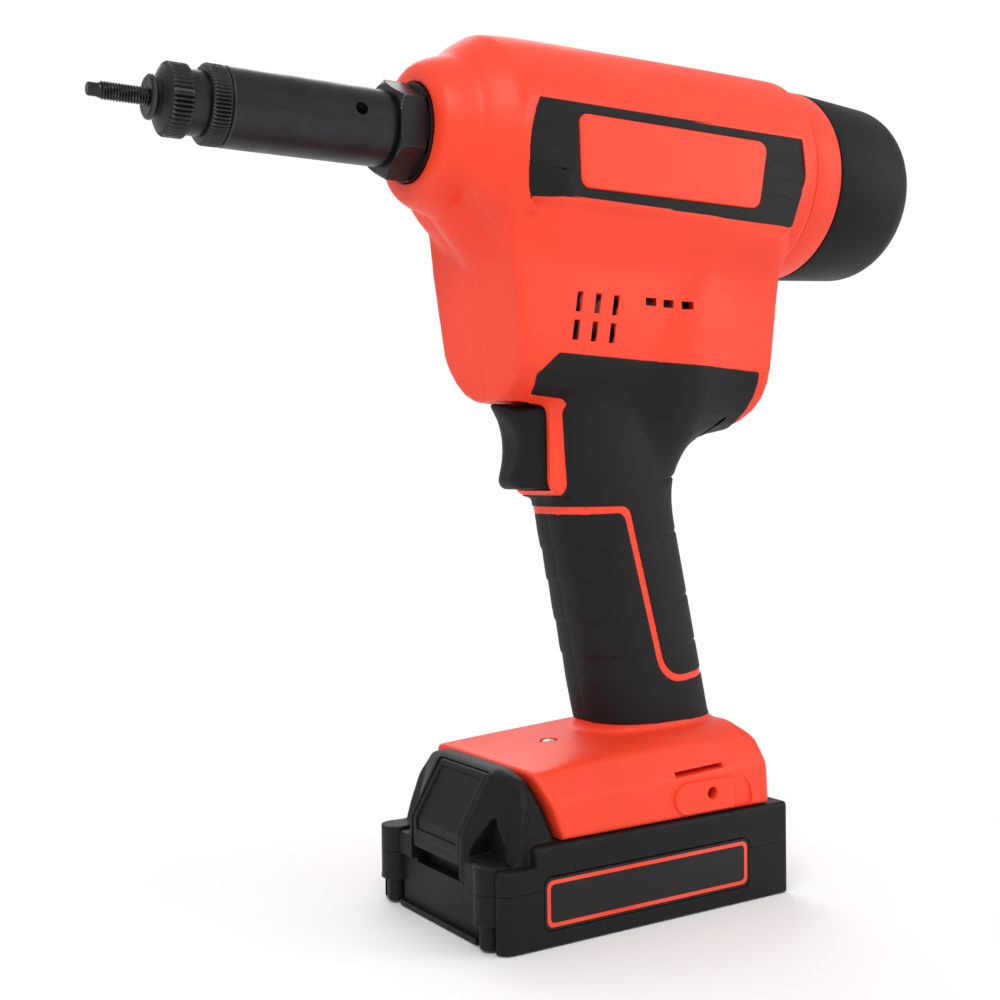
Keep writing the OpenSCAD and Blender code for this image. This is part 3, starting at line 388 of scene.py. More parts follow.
def body_field(x, y, z):
    a = np.abs(y)
    radius, share = body_run(x)
    upper = (np.hypot(a, z - z_body) - radius) * share
    upper = trim(trim(upper, x - tail_x, 1), -56 - x, 1)
    slope = (-50.5 - 0.81 * (z - 216) + 0.05 * np.minimum(a, 11) ** 2 - x) * 0.74
    upper = trim(upper, slope, 2)
    radius, share = collar_run(x)
    collar = (np.hypot(a, z - z_axis) - radius) * share
    collar = trim(trim(collar, lip_x - x, 1.6), x + 42, 4)
    body = fuse(upper, collar, 2.5)
    lift = z - np.interp(x, *zip(*belly_run))
    keel = trim(keel_side(x, z), keel_section(a, lift), 1.5)
    wide = 24.8 + 0.018 * (x + 40) + 0.04 * (z - 193) + ramp(z, 202, 223) * (1.5 + 9 * ramp(x, -42, -24))
    keel = trim(keel, a - wide, 2.2)
    keel = trim(keel, x + a * 0.5 - 84.4, 12)
    body = fuse(body, keel, 3.2)
    fairing = within(slope, -51.5 - x, x + 34, z - 232, a - 15)
    body = fuse(body, fairing, 1.2)
    flat = trim(panel_side(x, z) - 0.7, a - flank(x, z) + 0.25, 2.5)
    body = fuse(body, flat, 3)
    body = fuse(body, grip_field(x, a, z), 3 + 33.5 * ramp(x, 4, 34.5))
    surround = trim(surround_side(x, z), a - 11.3, 1.2)
    body = fuse(body, surround, 1.6)
    foot = trim(foot_side(x, z), foot_front(a, z - 0.028 * (x - 5)), 2)
    overhang = np.hypot(np.maximum(np.abs(x - 4.8) - 43.3, 0), np.maximum(a - foot_w + 0.6, 0))
    foot = trim(foot, overhang - 1.5, 1)
    return fuse(body, foot, 2.6)


back_edge = drawn([
    (-24.1, 176.6, 2), (-30.4, 169.9, 1.5), (-28.7, 163.9, 0.8), (-16.7, 162.7, 0.8), (-15.1, 161.2, 0.8),
    (-15.9, 158.8, 2), (-12.9, 131.9, 4), (-60, 132.3, 0), (-60, 128.5, 0), (6.7, 128.5, 3.5),
    (21.7, 71.6, 9), (60, 74.4, 0), (80, 74.4, 0), (80, 154.8, 0), (56.7, 154.8, 1), (57.7, 172.8, 1.2),
])
front_edge = drawn([
    (-60, 126.5, 0), (-60, z_foot + 2, 0), (80, z_foot + 2, 0), (80, 72.6, 0), (60, 72.4, 0),
    (20.1, 69.5, 10.5), (5, 126.5, 3.5),
])
screw_seats = [
    (-31.1, 271.9, 11), (25.9, 271.9, 11), (-30.1, 168, 12), (46.9, 167, 15),
    (27.5, 142, 8), (9, 67, 8), (-29, 42.4, 23), (41, 46, 23),
]
rail_top, rail_end, rail_w, rail_neck, rail_gap = 39.6, 44, 18, 14, 0.3
foot_rooms = [  # for the rail, its neck, the latch and the blades: from x, to x, half-width, from z, to z
    (-90, rail_end + rail_gap, rail_w + rail_gap, 33.3, rail_top + rail_gap),
    (-90, rail_end + rail_gap, rail_neck + rail_gap, 20, 34),
    (-60, -32, 7, rail_top, rail_top + 8), (9.7, 35.3, 14.8, rail_top, rail_top + 3),
]
hook_x, hook_z = 24.3, 37
hook_low, hook_high = hook_z - 5.6, hook_z + 4.2
lamp_x, lamp_z = -13.5, 51.8
trigger_back, trigger_w, trigger_z, trigger_h, trigger_gap = -7.6, 9, 148.1, 13.9, 0.3
vent_x, vent_pitch, vent_rows, vent_lean, vent_fall = -17.1, 6.95, (192.3, 183.6), 0.119, 0.25
slot_x, slot_pitch, slot_z = 10.5, 7.1, 193.6


def trigger_room(x, y, z):
    beside = np.abs(y) - trigger_w - trigger_gap
    return within(beside, np.abs(z - trigger_z) - trigger_h - trigger_gap, x - trigger_back)


def oblong(u_from, u_to, v_from, v_to, *radii):
    return drawn(list(zip((u_from, u_to, u_to, u_from), (v_from, v_from, v_to, v_to), radii)))


hook_pad = oblong(hook_x - 15, hook_x + 10.2, hook_low, hook_high, 5, 0.4, 0.4, 5)
hook_arch = oblong(hook_x + 9, hook_x + 17.5, hook_low, hook_high, 0, 0.5, 7, 0)
hook_slot = drawn([
    (hook_x - 13.3, 43, 0.3), (hook_x + 6.7, 43.9, 0.3),
    (hook_x + 6.7, 45.4, 0.3), (hook_x - 13.3, 44.6, 0.3),
], 0.1)


def outer_field(x, y, z):
    a = np.abs(y)
    f = body_field(x, y, z)
    f = fuse(f, within(hook_pad(x, z), a - foot_w - 1.25, foot_w - 7 - a), 0.5)
    f = without(f, hook_arch(x, z), foot_w - 0.3 - a)
    f = without(f, hook_slot(x, z), foot_w - 7 - a)
    bezel = np.hypot(x - lamp_x, y) - 4.6 + (z - lamp_z + 4) * 0.4
    return fuse(f, trim(bezel * 0.93, np.abs(z - lamp_z + 1.2) - 2.2, 0.5), 0.8)


def cut_field(x, y, z, side):
    a = np.abs(y)
    outer = outer_field(x, y, z)
    f = without(outer, outer + wall, rail_top + 2 - z)
    skin = np.minimum(back_edge(x, z), front_edge(x, z))
    pocket = within(skin + 0.6, -outer - skin_t, outer - 4)
    for sx, sz, seat in screw_seats:
        d = np.hypot(x - sx, z - sz)
        f = np.minimum(f, within(outer + 0.6, d - 4.8))
        if side > 0:
            f = without(f, np.where(y > seat, d - 3.2, d - 1.6), -y)
            pocket = np.maximum(pocket, 4.2 - d)
    f = without(f, pocket)
    f = without(f, panel_side(x, z) + 0.6, flank(x, z) - panel_t - 0.1 - a)
    f = trim(f, -within(np.hypot(a, z - z_axis) - collar_bore, x + 40), 0.6)
    f = without(f, np.hypot(a, z - z_body) - (body_r - groove), 20 - x)
    for x_from, x_to, half, z_from, z_to in foot_rooms:
        f = without(f, box_around(x, y, z, (x_from, -half, z_from), (x_to, half, z_to)))
    f = without(f, trigger_room(x, y, z))
    f = without(f, np.hypot(x - lamp_x, y) - 2.9, np.abs(z - lamp_z) - 8)
    hole = np.hypot(x - hook_x, z - hook_z)
    f = without(f, np.where(a > foot_w - 2.6, hole - 1.95, hole - 2.65), foot_w - 9 - a)
    behind = np.where(outer < -1.2, 2, 0)
    for i in range(3):
        for row in vent_rows:
            u = x - vent_x - vent_pitch * i - (z - vent_rows[0]) * vent_lean
            f = without(f, np.abs(u) - 1.1 - behind, np.abs(z - row + vent_fall * i) - 3.1, 18 - a)
        u, v = x - slot_x - slot_pitch * i, z - slot_z + vent_fall * i
        f = without(f, np.abs(u) - 2.1 - behind / 2, np.abs(v) - 1.25 - behind, 20 - a)
    return trim(f, 0.02 - side * y, 0.2)


def surface_group(name, inputs, outputs):
    """A shared shading effect: a node group with numbers going in and coming out."""
    tree = bpy.data.node_groups.new(name, "ShaderNodeTree")
    for way, labels in (("INPUT", inputs), ("OUTPUT", outputs)):
        for label in labels:
            tree.interface.new_socket(label, in_out=way, socket_type="NodeSocketFloat")
    return tree, tree.nodes.new("NodeGroupInput").outputs, tree.nodes.new("NodeGroupOutput").inputs


def noise_of(tree, vector, scale, detail):
    return add_node(tree, "ShaderNodeTexNoise", {"Vector": vector, "Scale": scale, "Detail": detail})["Fac"]


# moulded_surface: grain of the mould, slow clouding of the gloss, painted edge highlight, dust in the
# corners
moulded_surface, given, result = surface_group(
    "moulded_surface", ["Grain Scale"], ["Grain", "Cloud", "Edge Highlight", "Dust"])
tree, join = moulded_surface, moulded_surface.links.new
where = add_node(tree, "ShaderNodeTexCoord")["Object"]
bend = add_node(tree, "ShaderNodeNewGeometry")["Pointiness"]
cloud, highlight_patches = noise_of(tree, where, 24, 5), noise_of(tree, where, 210, 4)
join(noise_of(tree, where, given["Grain Scale"], 1.5), result["Grain"])
join(spread(tree, cloud, 0.32, 0.68), result["Cloud"])
# Edge Highlight: a paler colour painted on convex edges as a highlight, broken into patches by noise
edges = {0: spread(tree, bend, 0.53, 0.62), 1: spread(tree, highlight_patches, 0.42, 0.66)}
corners = {0: spread(tree, bend, 0.47, 0.4), 1: spread(tree, cloud, 0.4, 0.7)}
for label, feeds in (("Edge Highlight", edges), ("Dust", corners)):
    join(add_node(tree, "ShaderNodeMath", feeds, operation="MULTIPLY")[0], result[label])


def mix_colour(tree, share, *colours):
    first, second = ((*c, 1) if isinstance(c, tuple) else c for c in colours)
    return add_node(tree, "ShaderNodeMix", {0: share, 6: first, 7: second}, data_type="RGBA")[2]


def new_finish(name, group, feeds=None):
    """A material with one of the shared surface effects in it."""
    material = bpy.data.materials.new(name)
    tree = emptied(material)
    return material, tree, add_node(tree, "ShaderNodeGroup", feeds, node_tree=group)


def shade(tree, feeds):
    shader = add_node(tree, "ShaderNodeBsdfPrincipled", feeds)[0]
    add_node(tree, "ShaderNodeOutputMaterial", {"Surface": shader})


def relief(tree, height, strength, depth):
    feeds = {"Strength": strength, "Distance": depth / 1000, "Height": height}
    return add_node(tree, "ShaderNodeBump", feeds)[0]


def moulded(name, colour, edge_highlight, gloss, grain_scale, depth, shine=0.38):
    """Moulded plastic or rubber: grain in the relief, clouding in the gloss, painted highlight on convex
    edges.
    """
    material, tree, given = new_finish(name, moulded_surface, {"Grain Scale": grain_scale})
    base = mix_colour(tree, given["Cloud"], tuple(0.88 * c for c in colour), colour)
    # paints a highlight on convex edges in the paler colour
    base = mix_colour(tree, spread(tree, given["Edge Highlight"], 0, 1, 0, 0.45), base, edge_highlight)
    base = mix_colour(tree, spread(tree, given["Dust"], 0, 1, 0, 0.12), base, (0.36, 0.34, 0.31))
    shade(tree, {
        "Base Color": base, "Specular IOR Level": shine,
        "Roughness": spread(tree, given["Cloud"], 0, 1, gloss + 0.05, gloss - 0.04),
        "Normal": relief(tree, given["Grain"], 1, depth),
    })
    return material


def dressed(piece, body, node, material):
    """Puts a piece on its body in place of a construction node, with that slot's finish."""
    piece.data.materials.clear()
    piece.data.materials.append(material)
    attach(piece, body)
    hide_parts(node)


def fitted(name, field, margin, step, keep, body, node, material):
    """A moulding in the box of its construction node; keep is the share of faces that stay."""
    low, high = mm(node)
    dressed(moulding(name, field, low - margin, high + margin, step, keep), body, node, material)


# the third argument of each moulded finish is the colour of its painted edge highlight
orange_plastic = moulded("orange_plastic", (0.99, 0.056, 0.017), (0.99, 0.12, 0.06), 0.45, 2600, 0.03)
sides = ((-1, "left"), (1, "right"))
for side, word in sides:
    fitted("housing_" + word + "_shell", lambda x, y, z: cut_field(x, y, z, side), 6, 0.85, 0.5,
           "tool", "housing_" + word, orange_plastic)

# Rubber grips
# Soft black rubber moulded over the handle and the belly of the body, in a front and a back piece
# on each half, let 2 mm into the shells; four fine grooves for the palm, five low laps for the fingers.
black_rubber = moulded("black_rubber", (0.0075, 0.0075, 0.008), (0.028, 0.028, 0.028), 0.6, 1500, 0.05, 0.25)
back_steps, front_steps = (79.5, 95, 116.5, 134), (69.4, 80.7, 94, 104.7, 119)
slit = drawn([(42.8, 150, 0.2), (50.2, 157, 0.2), (49.2, 158.3, 0.2), (42.2, 150.9, 0.2)], 0.1)


def grip_line(z):
    return grip_x - (z - z_foot) * math.tan(grip_rake)


def rubber_field(x, y, z, side, edge):
    outer = outer_field(x, y, z)
    behind = x - grip_line(z)
    relief = 0
    if edge is back_edge:
        for z_step in back_steps:
            across = (z - z_step - behind * 0.16) / 0.6
            relief = relief + 0.4 * np.exp(-across * across) * ramp(behind, 2, 10)
    else:
        for z_step in front_steps:
            lap = np.clip((z - z_step + behind * 0.05) / 9, 0, 1)
            relief = relief + 0.42 * lap * (lap < 1) * ramp(-behind, 6, 17)
    f = trim(outer - 0.3 + relief, -outer - skin_t + 0.1, 0.3)
    f = trim(f, edge(x, z) + 0.05, 0.7)
    f = without(f, trigger_room(x, y, z))
    if side > 0:
        for sx, sz, _ in screw_seats:
            f = trim(f, 4.3 - np.hypot(x - sx, z - sz), 0.5)
    f = without(f, slit(x, z), 6 - np.abs(y))
    return trim(f, 0.02 - side * y, 0.2)


for side, word in sides:
    for part, edge in (("back", back_edge), ("front", front_edge)):
        node = "grip_" + part + "_" + word
        fitted(node + "_rubber", lambda x, y, z: rubber_field(x, y, z, side, edge), 3, 0.8, 0.5,
               "tool", node, black_rubber)

# Side panels and badges
# A black nylon inlay clipped into each flank, with three fine moulded lines at each end, and a
# plain orange plate set flush into it.
black_plastic = moulded("black_plastic", (0.0065, 0.0065, 0.007), (0.03, 0.03, 0.03), 0.5, 2200, 0.035, 0.21)
line_rows, line_w = (241.5, 235.5, 229.5), 0.3
badge_low, badge_high = mm("badge_right")
badge_edge = drawn([
    (badge_low[0], badge_low[2], 3), (badge_high[0] - 4, badge_low[2], 4),
    (badge_high[0], badge_high[2], 3.5), (badge_low[0] - 0.8, badge_high[2], 3),
])


def panel_field(x, y, z, side):
    b, face, badge = side * y, flank(x, z), badge_edge(x, z)
    f = trim(panel_side(x, z), b - face - 0.15, 0.7)
    f = np.maximum(f, face - panel_t + 0.02 - b)
    lines = np.minimum.reduce([np.abs(z - row) for row in line_rows]) - line_w
    f = without(f, lines, face + 0.02 - b, 2.2 - badge)
    return without(f, badge - 0.15, panel_high[1] - 1 - b)


def badge_field(x, y, z, side):
    b = side * y
    f = trim(badge_edge(x, z) + 0.05, b - badge_high[1] - 0.15, 0.8)
    return np.maximum(f, badge_low[1] + 0.02 - b)


for side, word in sides:
    fitted("side_panel_" + word + "_inlay", lambda x, y, z: panel_field(x, y, z, side), 6, 0.6, 0.35,
           "tool", "side_panel_" + word, black_plastic)
    fitted("badge_" + word + "_plate", lambda x, y, z: badge_field(x, y, z, side), 2, 0.6, 0.3,
           "tool", "badge_" + word, orange_plastic)

# Rear ring and rear cap
# The orange ring is held in the shells' rear groove. The black cap turns in it to set the stroke;
# both are moulded, the cap with a slight taper, a broad rounded edge and a crowned end.
def smoothed(name, mesh):
    mesh.shade_smooth()
    mesh.set_sharp_from_angle(angle=math.radians(32))
    return placed(name, mesh)


def lathe(name, loop, z, steps=128, ripple=None):
    """A turned piece: a closed run of (x, radius) spun about the axis at height z, all in mm."""
    cells, points, faces = len(loop), [], []
    for j in range(steps):
        angle = 2 * math.pi * j / steps
        for x, r in loop:
            grown = r + (ripple(x, r, angle) if ripple and r > 0 else 0)
            points.append((x / 1000, grown * math.cos(angle) / 1000, (z + grown * math.sin(angle)) / 1000))
    for j in range(steps):
        k = (j + 1) % steps
        for i in range(cells):
            n = (i + 1) % cells
            if loop[i][1] > 0 or loop[n][1] > 0:
                faces.append((j * cells + i, k * cells + i, k * cells + n, j * cells + n))
    mesh = bpy.data.meshes.new(name)
    mesh.from_pydata(points, [], faces)
    shape = bmesh.new()
    shape.from_mesh(mesh)
    bmesh.ops.remove_doubles(shape, verts=shape.verts, dist=2e-6)
    bmesh.ops.dissolve_degenerate(shape, edges=shape.edges, dist=1e-6)
    bmesh.ops.recalc_face_normals(shape, faces=shape.faces)
    shape.to_mesh(mesh)
    shape.free()
    return smoothed(name, mesh)


def divided(loop, step):
    """The same run with its long stretches split into short ones."""
    points = []
    for (ax, ar), (bx, br) in zip(loop, [*loop[1:], loop[0]]):
        n = max(1, int(math.hypot(bx - ax, br - ar) / step))
        points += [(ax + (bx - ax) * i / n, ar + (br - ar) * i / n) for i in range(n)]
    return points


ring_bore, cap_r = body_r - groove - 2.4, body_r - 1.2
ring_low, ring_high = mm("rear_ring")
ring_front, ring_back = ring_low[0], ring_high[0]
ring_loop = [
    (ring_front, ring_bore), (ring_back - 0.3, ring_bore), (ring_back, ring_bore + 0.3),
    (ring_back, cap_r - 0.8), (ring_back - 0.2, cap_r - 0.3), (ring_back - 0.8, cap_r),
    (tail_x + 1.4, cap_r), (tail_x + 0.9, cap_r - 0.15), (tail_x + 0.6, cap_r - 0.6), (tail_x, cap_r - 0.7),
    (tail_x, body_r - 2.65), (ring_front, body_r - 2.65),
]
dressed(lathe("rear_ring_band", ring_loop, z_body), "tool", "rear_ring", orange_plastic)

cap_front, cap_end = ring_back + 0.3, cap_high[0] + 1.7
edge_r, end_r, crown, cap_t = 12.5, cap_r - 1.6, 1.8, 3
cap_loop = [(cap_low[0], ring_bore - cap_t), (cap_low[0], ring_bore - 0.05), (cap_front, ring_bore - 0.05)]
cap_loop += [(cap_front, cap_r - 0.9), (cap_front + 0.3, cap_r - 0.3), (cap_front + 1, cap_r)]


def cap_edge(degrees, depth):
    """A point of the cap's rounded edge, at a depth below its outside."""
    t = math.radians(degrees)
    return (cap_end - (crown + depth) - edge_r + edge_r * math.sin(t),
            end_r - edge_r - depth + edge_r * math.cos(t))


cap_loop += [cap_edge(3 + 84 * i / 18, 0) for i in range(19)]
for i in range(1, 9):
    t = 1 - i / 8
    cap_loop.append((cap_end - crown * t * t, (end_r - edge_r) * t))
cap_loop.append((cap_end - cap_t, 0))
cap_loop += [cap_edge(90 * i / 8, cap_t) for i in range(8, -1, -1)]
cap_loop.append((cap_front + cap_t, ring_bore - cap_t))
dressed(lathe("rear_cap_dome", cap_loop, z_body, 160), "rear_cap", "rear_cap", black_plastic)

# Nose
# Steel, turned, blackened and oiled: a draw mandrel with a metric thread, an anvil with a knurled
# flange, a knurled lock ring, and a smooth barrel that ends in a hexagon against the body.
metal_surface, _, result = surface_group("metal_surface", [], ["Rings", "Stain", "Edge Highlight"])
tree, join = metal_surface, metal_surface.links.new
where = add_node(tree, "ShaderNodeTexCoord")["Object"]
bend = add_node(tree, "ShaderNodeNewGeometry")["Pointiness"]
along = add_node(tree, "ShaderNodeMapping", {"Vector": where, "Scale": (9000, 90, 90)})[0]
join(noise_of(tree, along, 1, 2), result["Rings"])
join(spread(tree, noise_of(tree, where, 130, 5), 0.34, 0.68), result["Stain"])
# Edge Highlight: a highlight painted on every convex edge
join(spread(tree, bend, 0.53, 0.64), result["Edge Highlight"])


def machined(name, colour, metal_edge_highlight, rough):
    """Turned or milled metal: tool rings in the relief, stained gloss, painted highlight on convex edges."""
    material, tree, given = new_finish(name, metal_surface)
    base = mix_colour(tree, given["Stain"], tuple(0.8 * c for c in colour), colour)
    # paints a highlight on convex edges in the lighter colour
    base = mix_colour(tree, spread(tree, given["Edge Highlight"], 0, 1, 0, 0.6), base, metal_edge_highlight)
    shade(tree, {
        "Base Color": base, "Metallic": 1,
        "Roughness": spread(tree, given["Stain"], 0, 1, rough + 0.08, rough - 0.05),
        "Normal": relief(tree, given["Rings"], 0.5, 0.02),
    })
    return material


# the third argument of each machined finish is the colour of its painted edge highlight
black_steel = machined("black_steel", (0.045, 0.045, 0.048), (0.2, 0.2, 0.21), 0.36)
mandrel_low, mandrel_high = mm("mandrel")
anvil_low, anvil_high = mm("anvil")
lock_low, lock_high = mm("lock_ring")
tip_x, anvil_x, lock_x, barrel_x = mandrel_low[0], anvil_low[0], lock_low[0], barrel_low[0]
mandrel_r, pitch_mm, thread_end = 2.5, 0.8, -123


def mandrel_ripple(x, r, angle):
    if tip_x + 3.4 < x < thread_end and r > 2:
        wave = (x / pitch_mm - angle / (2 * math.pi)) % 1
        return -0.46 * abs(2 * wave - 1)
    return 0


mandrel_loop = divided([
    (tip_x, 0), (tip_x, 1.55), (tip_x + 0.35, 1.85), (tip_x + 2.7, 1.85), (tip_x + 3.3, mandrel_r - 0.45),
    (tip_x + 3.8, mandrel_r), (thread_end, mandrel_r), (thread_end + 0.3, mandrel_r - 0.5),
    (barrel_x + 12.6, mandrel_r - 0.5), (barrel_x + 12.6, 4.6), (mandrel_high[0], 4.6), (mandrel_high[0], 0),
], 0.13)
mandrel_loop = [(x, r) for x, r in mandrel_loop if r > 0 or x in (tip_x, mandrel_high[0])]
dressed(lathe("mandrel_thread", mandrel_loop, z_axis, 48, mandrel_ripple),
        "mandrel", "mandrel", black_steel)


def flute(count, depth, start, end, least):
    """Straight knurling: shallow grooves along the axis between two stations."""
    def ripple(x, r, angle):
        if start < x < end and r > least:
            return -depth * (0.5 + 0.5 * math.cos(count * angle)) ** 2
        return 0
    return ripple


thread_r, anvil_bore, anvil_end = 9, mandrel_r + 0.05, anvil_high[0] - anvil_x
anvil_loop = divided([(anvil_x + x, r) for x, r in [
    (0, anvil_bore), (0, 5.4), (0.5, 6.1), (1.2, 6.2), (1.5, 5.6), (2, 5.4), (2.5, 5.8), (3.2, 7),
    (4, 8.6), (4.7, 9.8), (5.2, 10.2), (10.2, 10.2), (10.6, 9.6), (10.7, thread_r),
    (anvil_end, thread_r), (anvil_end, 7.4), (8, 7.4), (7, anvil_bore),
]], 0.4)
dressed(lathe("anvil_flange", anvil_loop, z_axis, 288, flute(48, 0.5, anvil_x + 4.4, anvil_x + 10.4, 8)),
        "anvil", "anvil", black_steel)
barrel_r = (lock_high[2] - lock_low[2]) / 2 + 0.1
lock_end = lock_high[0]
lock_loop = divided([
    (lock_x, thread_r + 0.05), (lock_x, barrel_r - 1.3), (lock_x + 0.4, barrel_r - 0.6),
    (lock_x + 1, barrel_r - 0.1), (lock_end - 0.8, barrel_r - 0.1), (lock_end - 0.2, barrel_r - 0.5),
    (lock_end, barrel_r - 0.9), (lock_end, thread_r + 0.05),
], 0.4)
dressed(lathe("lock_ring_knurl", lock_loop, z_axis, 384, flute(64, 0.4, lock_x + 0.2, lock_end - 0.2, 10)),
        "lock_ring", "lock_ring", black_steel)
hex_low, hex_high, hex_flat = barrel_x + 50.5, barrel_x + 59.5, 13
hex_corner, barrel_bore, barrel_end = hex_flat * 1.1547, 8.6, barrel_high[0]


def hexagon(x, r, angle):
    """Six flats round the foot of the barrel, one of them upright on each side."""
    if hex_low < x < hex_high + 0.01 and r > barrel_r + 0.7:
        return min(r, hex_flat / math.cos((angle + math.pi / 6) % (math.pi / 3) - math.pi / 6)) - r
    return 0


barrel_loop = divided([
    (barrel_x, barrel_bore), (barrel_x, barrel_r - 0.5), (barrel_x + 0.4, barrel_r - 0.1),
    (hex_low - 1.2, barrel_r - 0.1), (hex_low - 1.2, barrel_r - 0.4), (hex_low - 0.1, barrel_r - 0.4),
    (hex_low + 0.05, hex_flat + 0.2), (hex_low + 1.3, hex_corner), (hex_high - 0.9, hex_corner),
    (hex_high, hex_flat + 0.7), (hex_high, barrel_r + 0.6), (barrel_end, barrel_r + 0.6),
    (barrel_end, barrel_bore),
], 0.5)
barrel = lathe("barrel_sleeve", barrel_loop, z_axis, 192, hexagon)
side_r, side_deep, side_turn = 0.0019, 0.02, math.radians(79)
side_at = Matrix.Translation((barrel_x / 1000 + 0.0387, -0.013, z_axis / 1000 + 0.0026))
bore = bpy.data.meshes.new("side_bore")
shape = bmesh.new()
bmesh.ops.create_cone(shape, cap_ends=True, segments=32, radius1=side_r, radius2=side_r, depth=side_deep,
                      matrix=side_at @ Matrix.Rotation(side_turn, 4, "X"))
shape.to_mesh(bore)
shape.free()
drill = placed("side_bore", bore)
drilled = barrel.modifiers.new("side_bore", "BOOLEAN")
drilled.object, drilled.operation, drilled.solver = drill, "DIFFERENCE", "EXACT"
settle(barrel)
bpy.data.objects.remove(drill)
dressed(barrel, "tool", "barrel", black_steel)

# Draw drive
# Inside the body: ground steel spindle and ball nut, hardened bearings, an alloy tube and plate,
# and a steel spur train from the motor; machined, oiled and never seen with the shells closed.
def finished(material, *names):
    """Gives construction nodes that stay in the tool their own finish."""
    for name in names:
        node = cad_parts[name]
        node.data.materials.clear()
        node.data.materials.append(material)


ground_steel = machined("ground_steel", (0.55, 0.55, 0.56), (0.8, 0.8, 0.8), 0.3)
cast_alloy = machined("cast_alloy", (0.62, 0.62, 0.63), (0.85, 0.85, 0.85), 0.45)
finished(black_steel, "nose_block")
finished(ground_steel, "pull_head", "draw_spindle", "thrust_bearing", "nut_bearing", "ball_nut",
         "nut_gear", "idler_gear", "idler_pin")
finished(cast_alloy, "draw_tube", "gear_plate")

# Motor
# A can of drawn steel round copper windings, end bells of alloy, ball bearings, the rotor with its
# pinion, and a moulded fan.
copper_winding = machined("copper_winding", (0.62, 0.25, 0.11), (0.8, 0.42, 0.25), 0.35)
finished(black_steel, "motor_can")
finished(copper_winding, "motor_stator")
finished(cast_alloy, "motor_end_bells")
finished(ground_steel, "motor_bearings", "motor_rotor", "motor_pinion")
finished(black_plastic, "motor_fan")

# Housing screws and hook inserts
# Blackened thread-forming screws from the right side, and brass bushes moulded into the foot for
# the belt hook's screw.
brass = machined("brass", (0.72, 0.5, 0.2), (0.9, 0.72, 0.4), 0.32)


def turned_along_y(name, places, loop, steps=36, ripple=None):
    """Turned pieces across the tool: loop is (depth, radius), places are (x, y, z, sense)."""
    whole = bmesh.new()
    for x, y, z, sense in places:
        one = lathe(name + "_one", loop, 0, steps, ripple)
        there = Matrix.Translation((x / 1000, y / 1000, z / 1000))
        one.data.transform(there @ Matrix.Rotation(sense * math.pi / 2, 4, "Z"))
        whole.from_mesh(one.data)
        bpy.data.objects.remove(one)
    mesh = bpy.data.meshes.new(name)
    whole.to_mesh(mesh)
    whole.free()
    return smoothed(name, mesh)


def star(x, r, angle):
    return -0.22 * (0.5 - 0.5 * math.cos(6 * angle)) if 1 < r < 1.4 else 0


screw_loop = [
    (-14, 0), (-14, 0.9), (-13, 1.45), (0, 1.5), (0.05, 2.9), (1.3, 2.9), (2, 2.5), (2.3, 1.8),
    (2.3, 1.25), (1, 1.2), (0.8, 0),
]
places = [(sx, seat + 0.1, sz, 1) for sx, sz, seat in screw_seats]
dressed(turned_along_y("housing_screw_set", places, screw_loop, 48, star),
        "tool", "housing_screws", black_steel)
bush_loop = [(-5.5, 1.7), (0, 1.7), (0, 2.45), (-0.3, 2.6), (-5.5, 2.6)]
places = [(hook_x, sense * (foot_w - 2.8), hook_z, sense) for sense in (-1, 1)]
dressed(turned_along_y("hook_bushes", places, bush_loop), "tool", "hook_inserts", brass)

# Trigger
# Moulded in black nylon with a hollow for the finger in front. It slides straight back into the
# handle, on a stem that pushes the switch's plunger.
trigger_low, trigger_high = mm("trigger")
trigger_front, trigger_end = trigger_low[0], trigger_high[0]
trigger_side = drawn([
    (trigger_front - 1.2, 162, 0.8), (trigger_front + 4.6, 156, 6), (trigger_front + 8.8, 148.5, 14),
    (trigger_front + 3.4, 134.4, 3), (-13.2, 134.4, 1), (-13.2, 159.6, 1), (-20, 160.4, 1),
])


def slab(x, y, px, py, qx, qy):
    """Distance beyond an upright plane through two plan points."""
    ex, ey = qx - px, qy - py
    return ((x - px) * -ey + (y - py) * ex) / math.hypot(ex, ey)


def trigger_field(x, y, z):
    a = np.abs(y)
    f = trim(trigger_side(x, z), a - trigger_w, 0.8)
    f = trim(f, slab(x, a, trigger_front - 1, 2.4, -24, 9.2), 4)
    stem = within(np.hypot(y, z - z_belly + 11) - 3.5, x - trigger_end, trigger_front + 14 - x)
    return np.minimum(f, stem)


fitted("trigger_lever", trigger_field, 2, 0.55, 0.5, "trigger", "trigger", black_plastic)

# Switch, control board, terminals and leads
# The switch is a black moulded case on the handle's ribs; the board is green glass laminate with
# its parts under green lacquer, the blades are brass in a black block, and the leads are red wire.
green_laminate = moulded("green_laminate", (0.03, 0.16, 0.07), (0.2, 0.3, 0.2), 0.4, 3000, 0.02)
wire_jacket = moulded("wire_jacket", (0.4, 0.03, 0.03), (0.5, 0.1, 0.1), 0.45, 2000, 0.02)
finished(black_plastic, "switch_body", "terminal_block")
board_low, board_high = mm("control_board")
board_z, board_top, board_face, board_half, board_t = board_low[2], board_high[2], board_high[1], 17, 0.8
board_side = drawn([
    (grip_line(board_z) - board_half, board_z, 1.5), (grip_line(board_z) + board_half, board_z, 1.5),
    (grip_line(board_top) + board_half, board_top, 1.5), (grip_line(board_top) - board_half, board_top, 1.5),
])


def board_field(x, y, z):
    f = within(board_side(x, z), np.abs(y - board_face + board_t) - board_t)
    u = x - grip_line(z)
    for row in (0.2, 0.5, 0.8):
        middle = board_z + row * (board_top - board_z)
        f = np.minimum(f, within(
            np.abs(np.abs(u) - 8.5) - 5, np.abs(z - middle) - 4.5, y - board_face + 1, board_low[1] - y))
    return f


fitted("control_board_laminate", board_field, 4, 0.5, 0.3,
       "tool", "control_board", green_laminate)
finished(brass, "terminal_blades")
finished(wire_jacket, "power_leads")

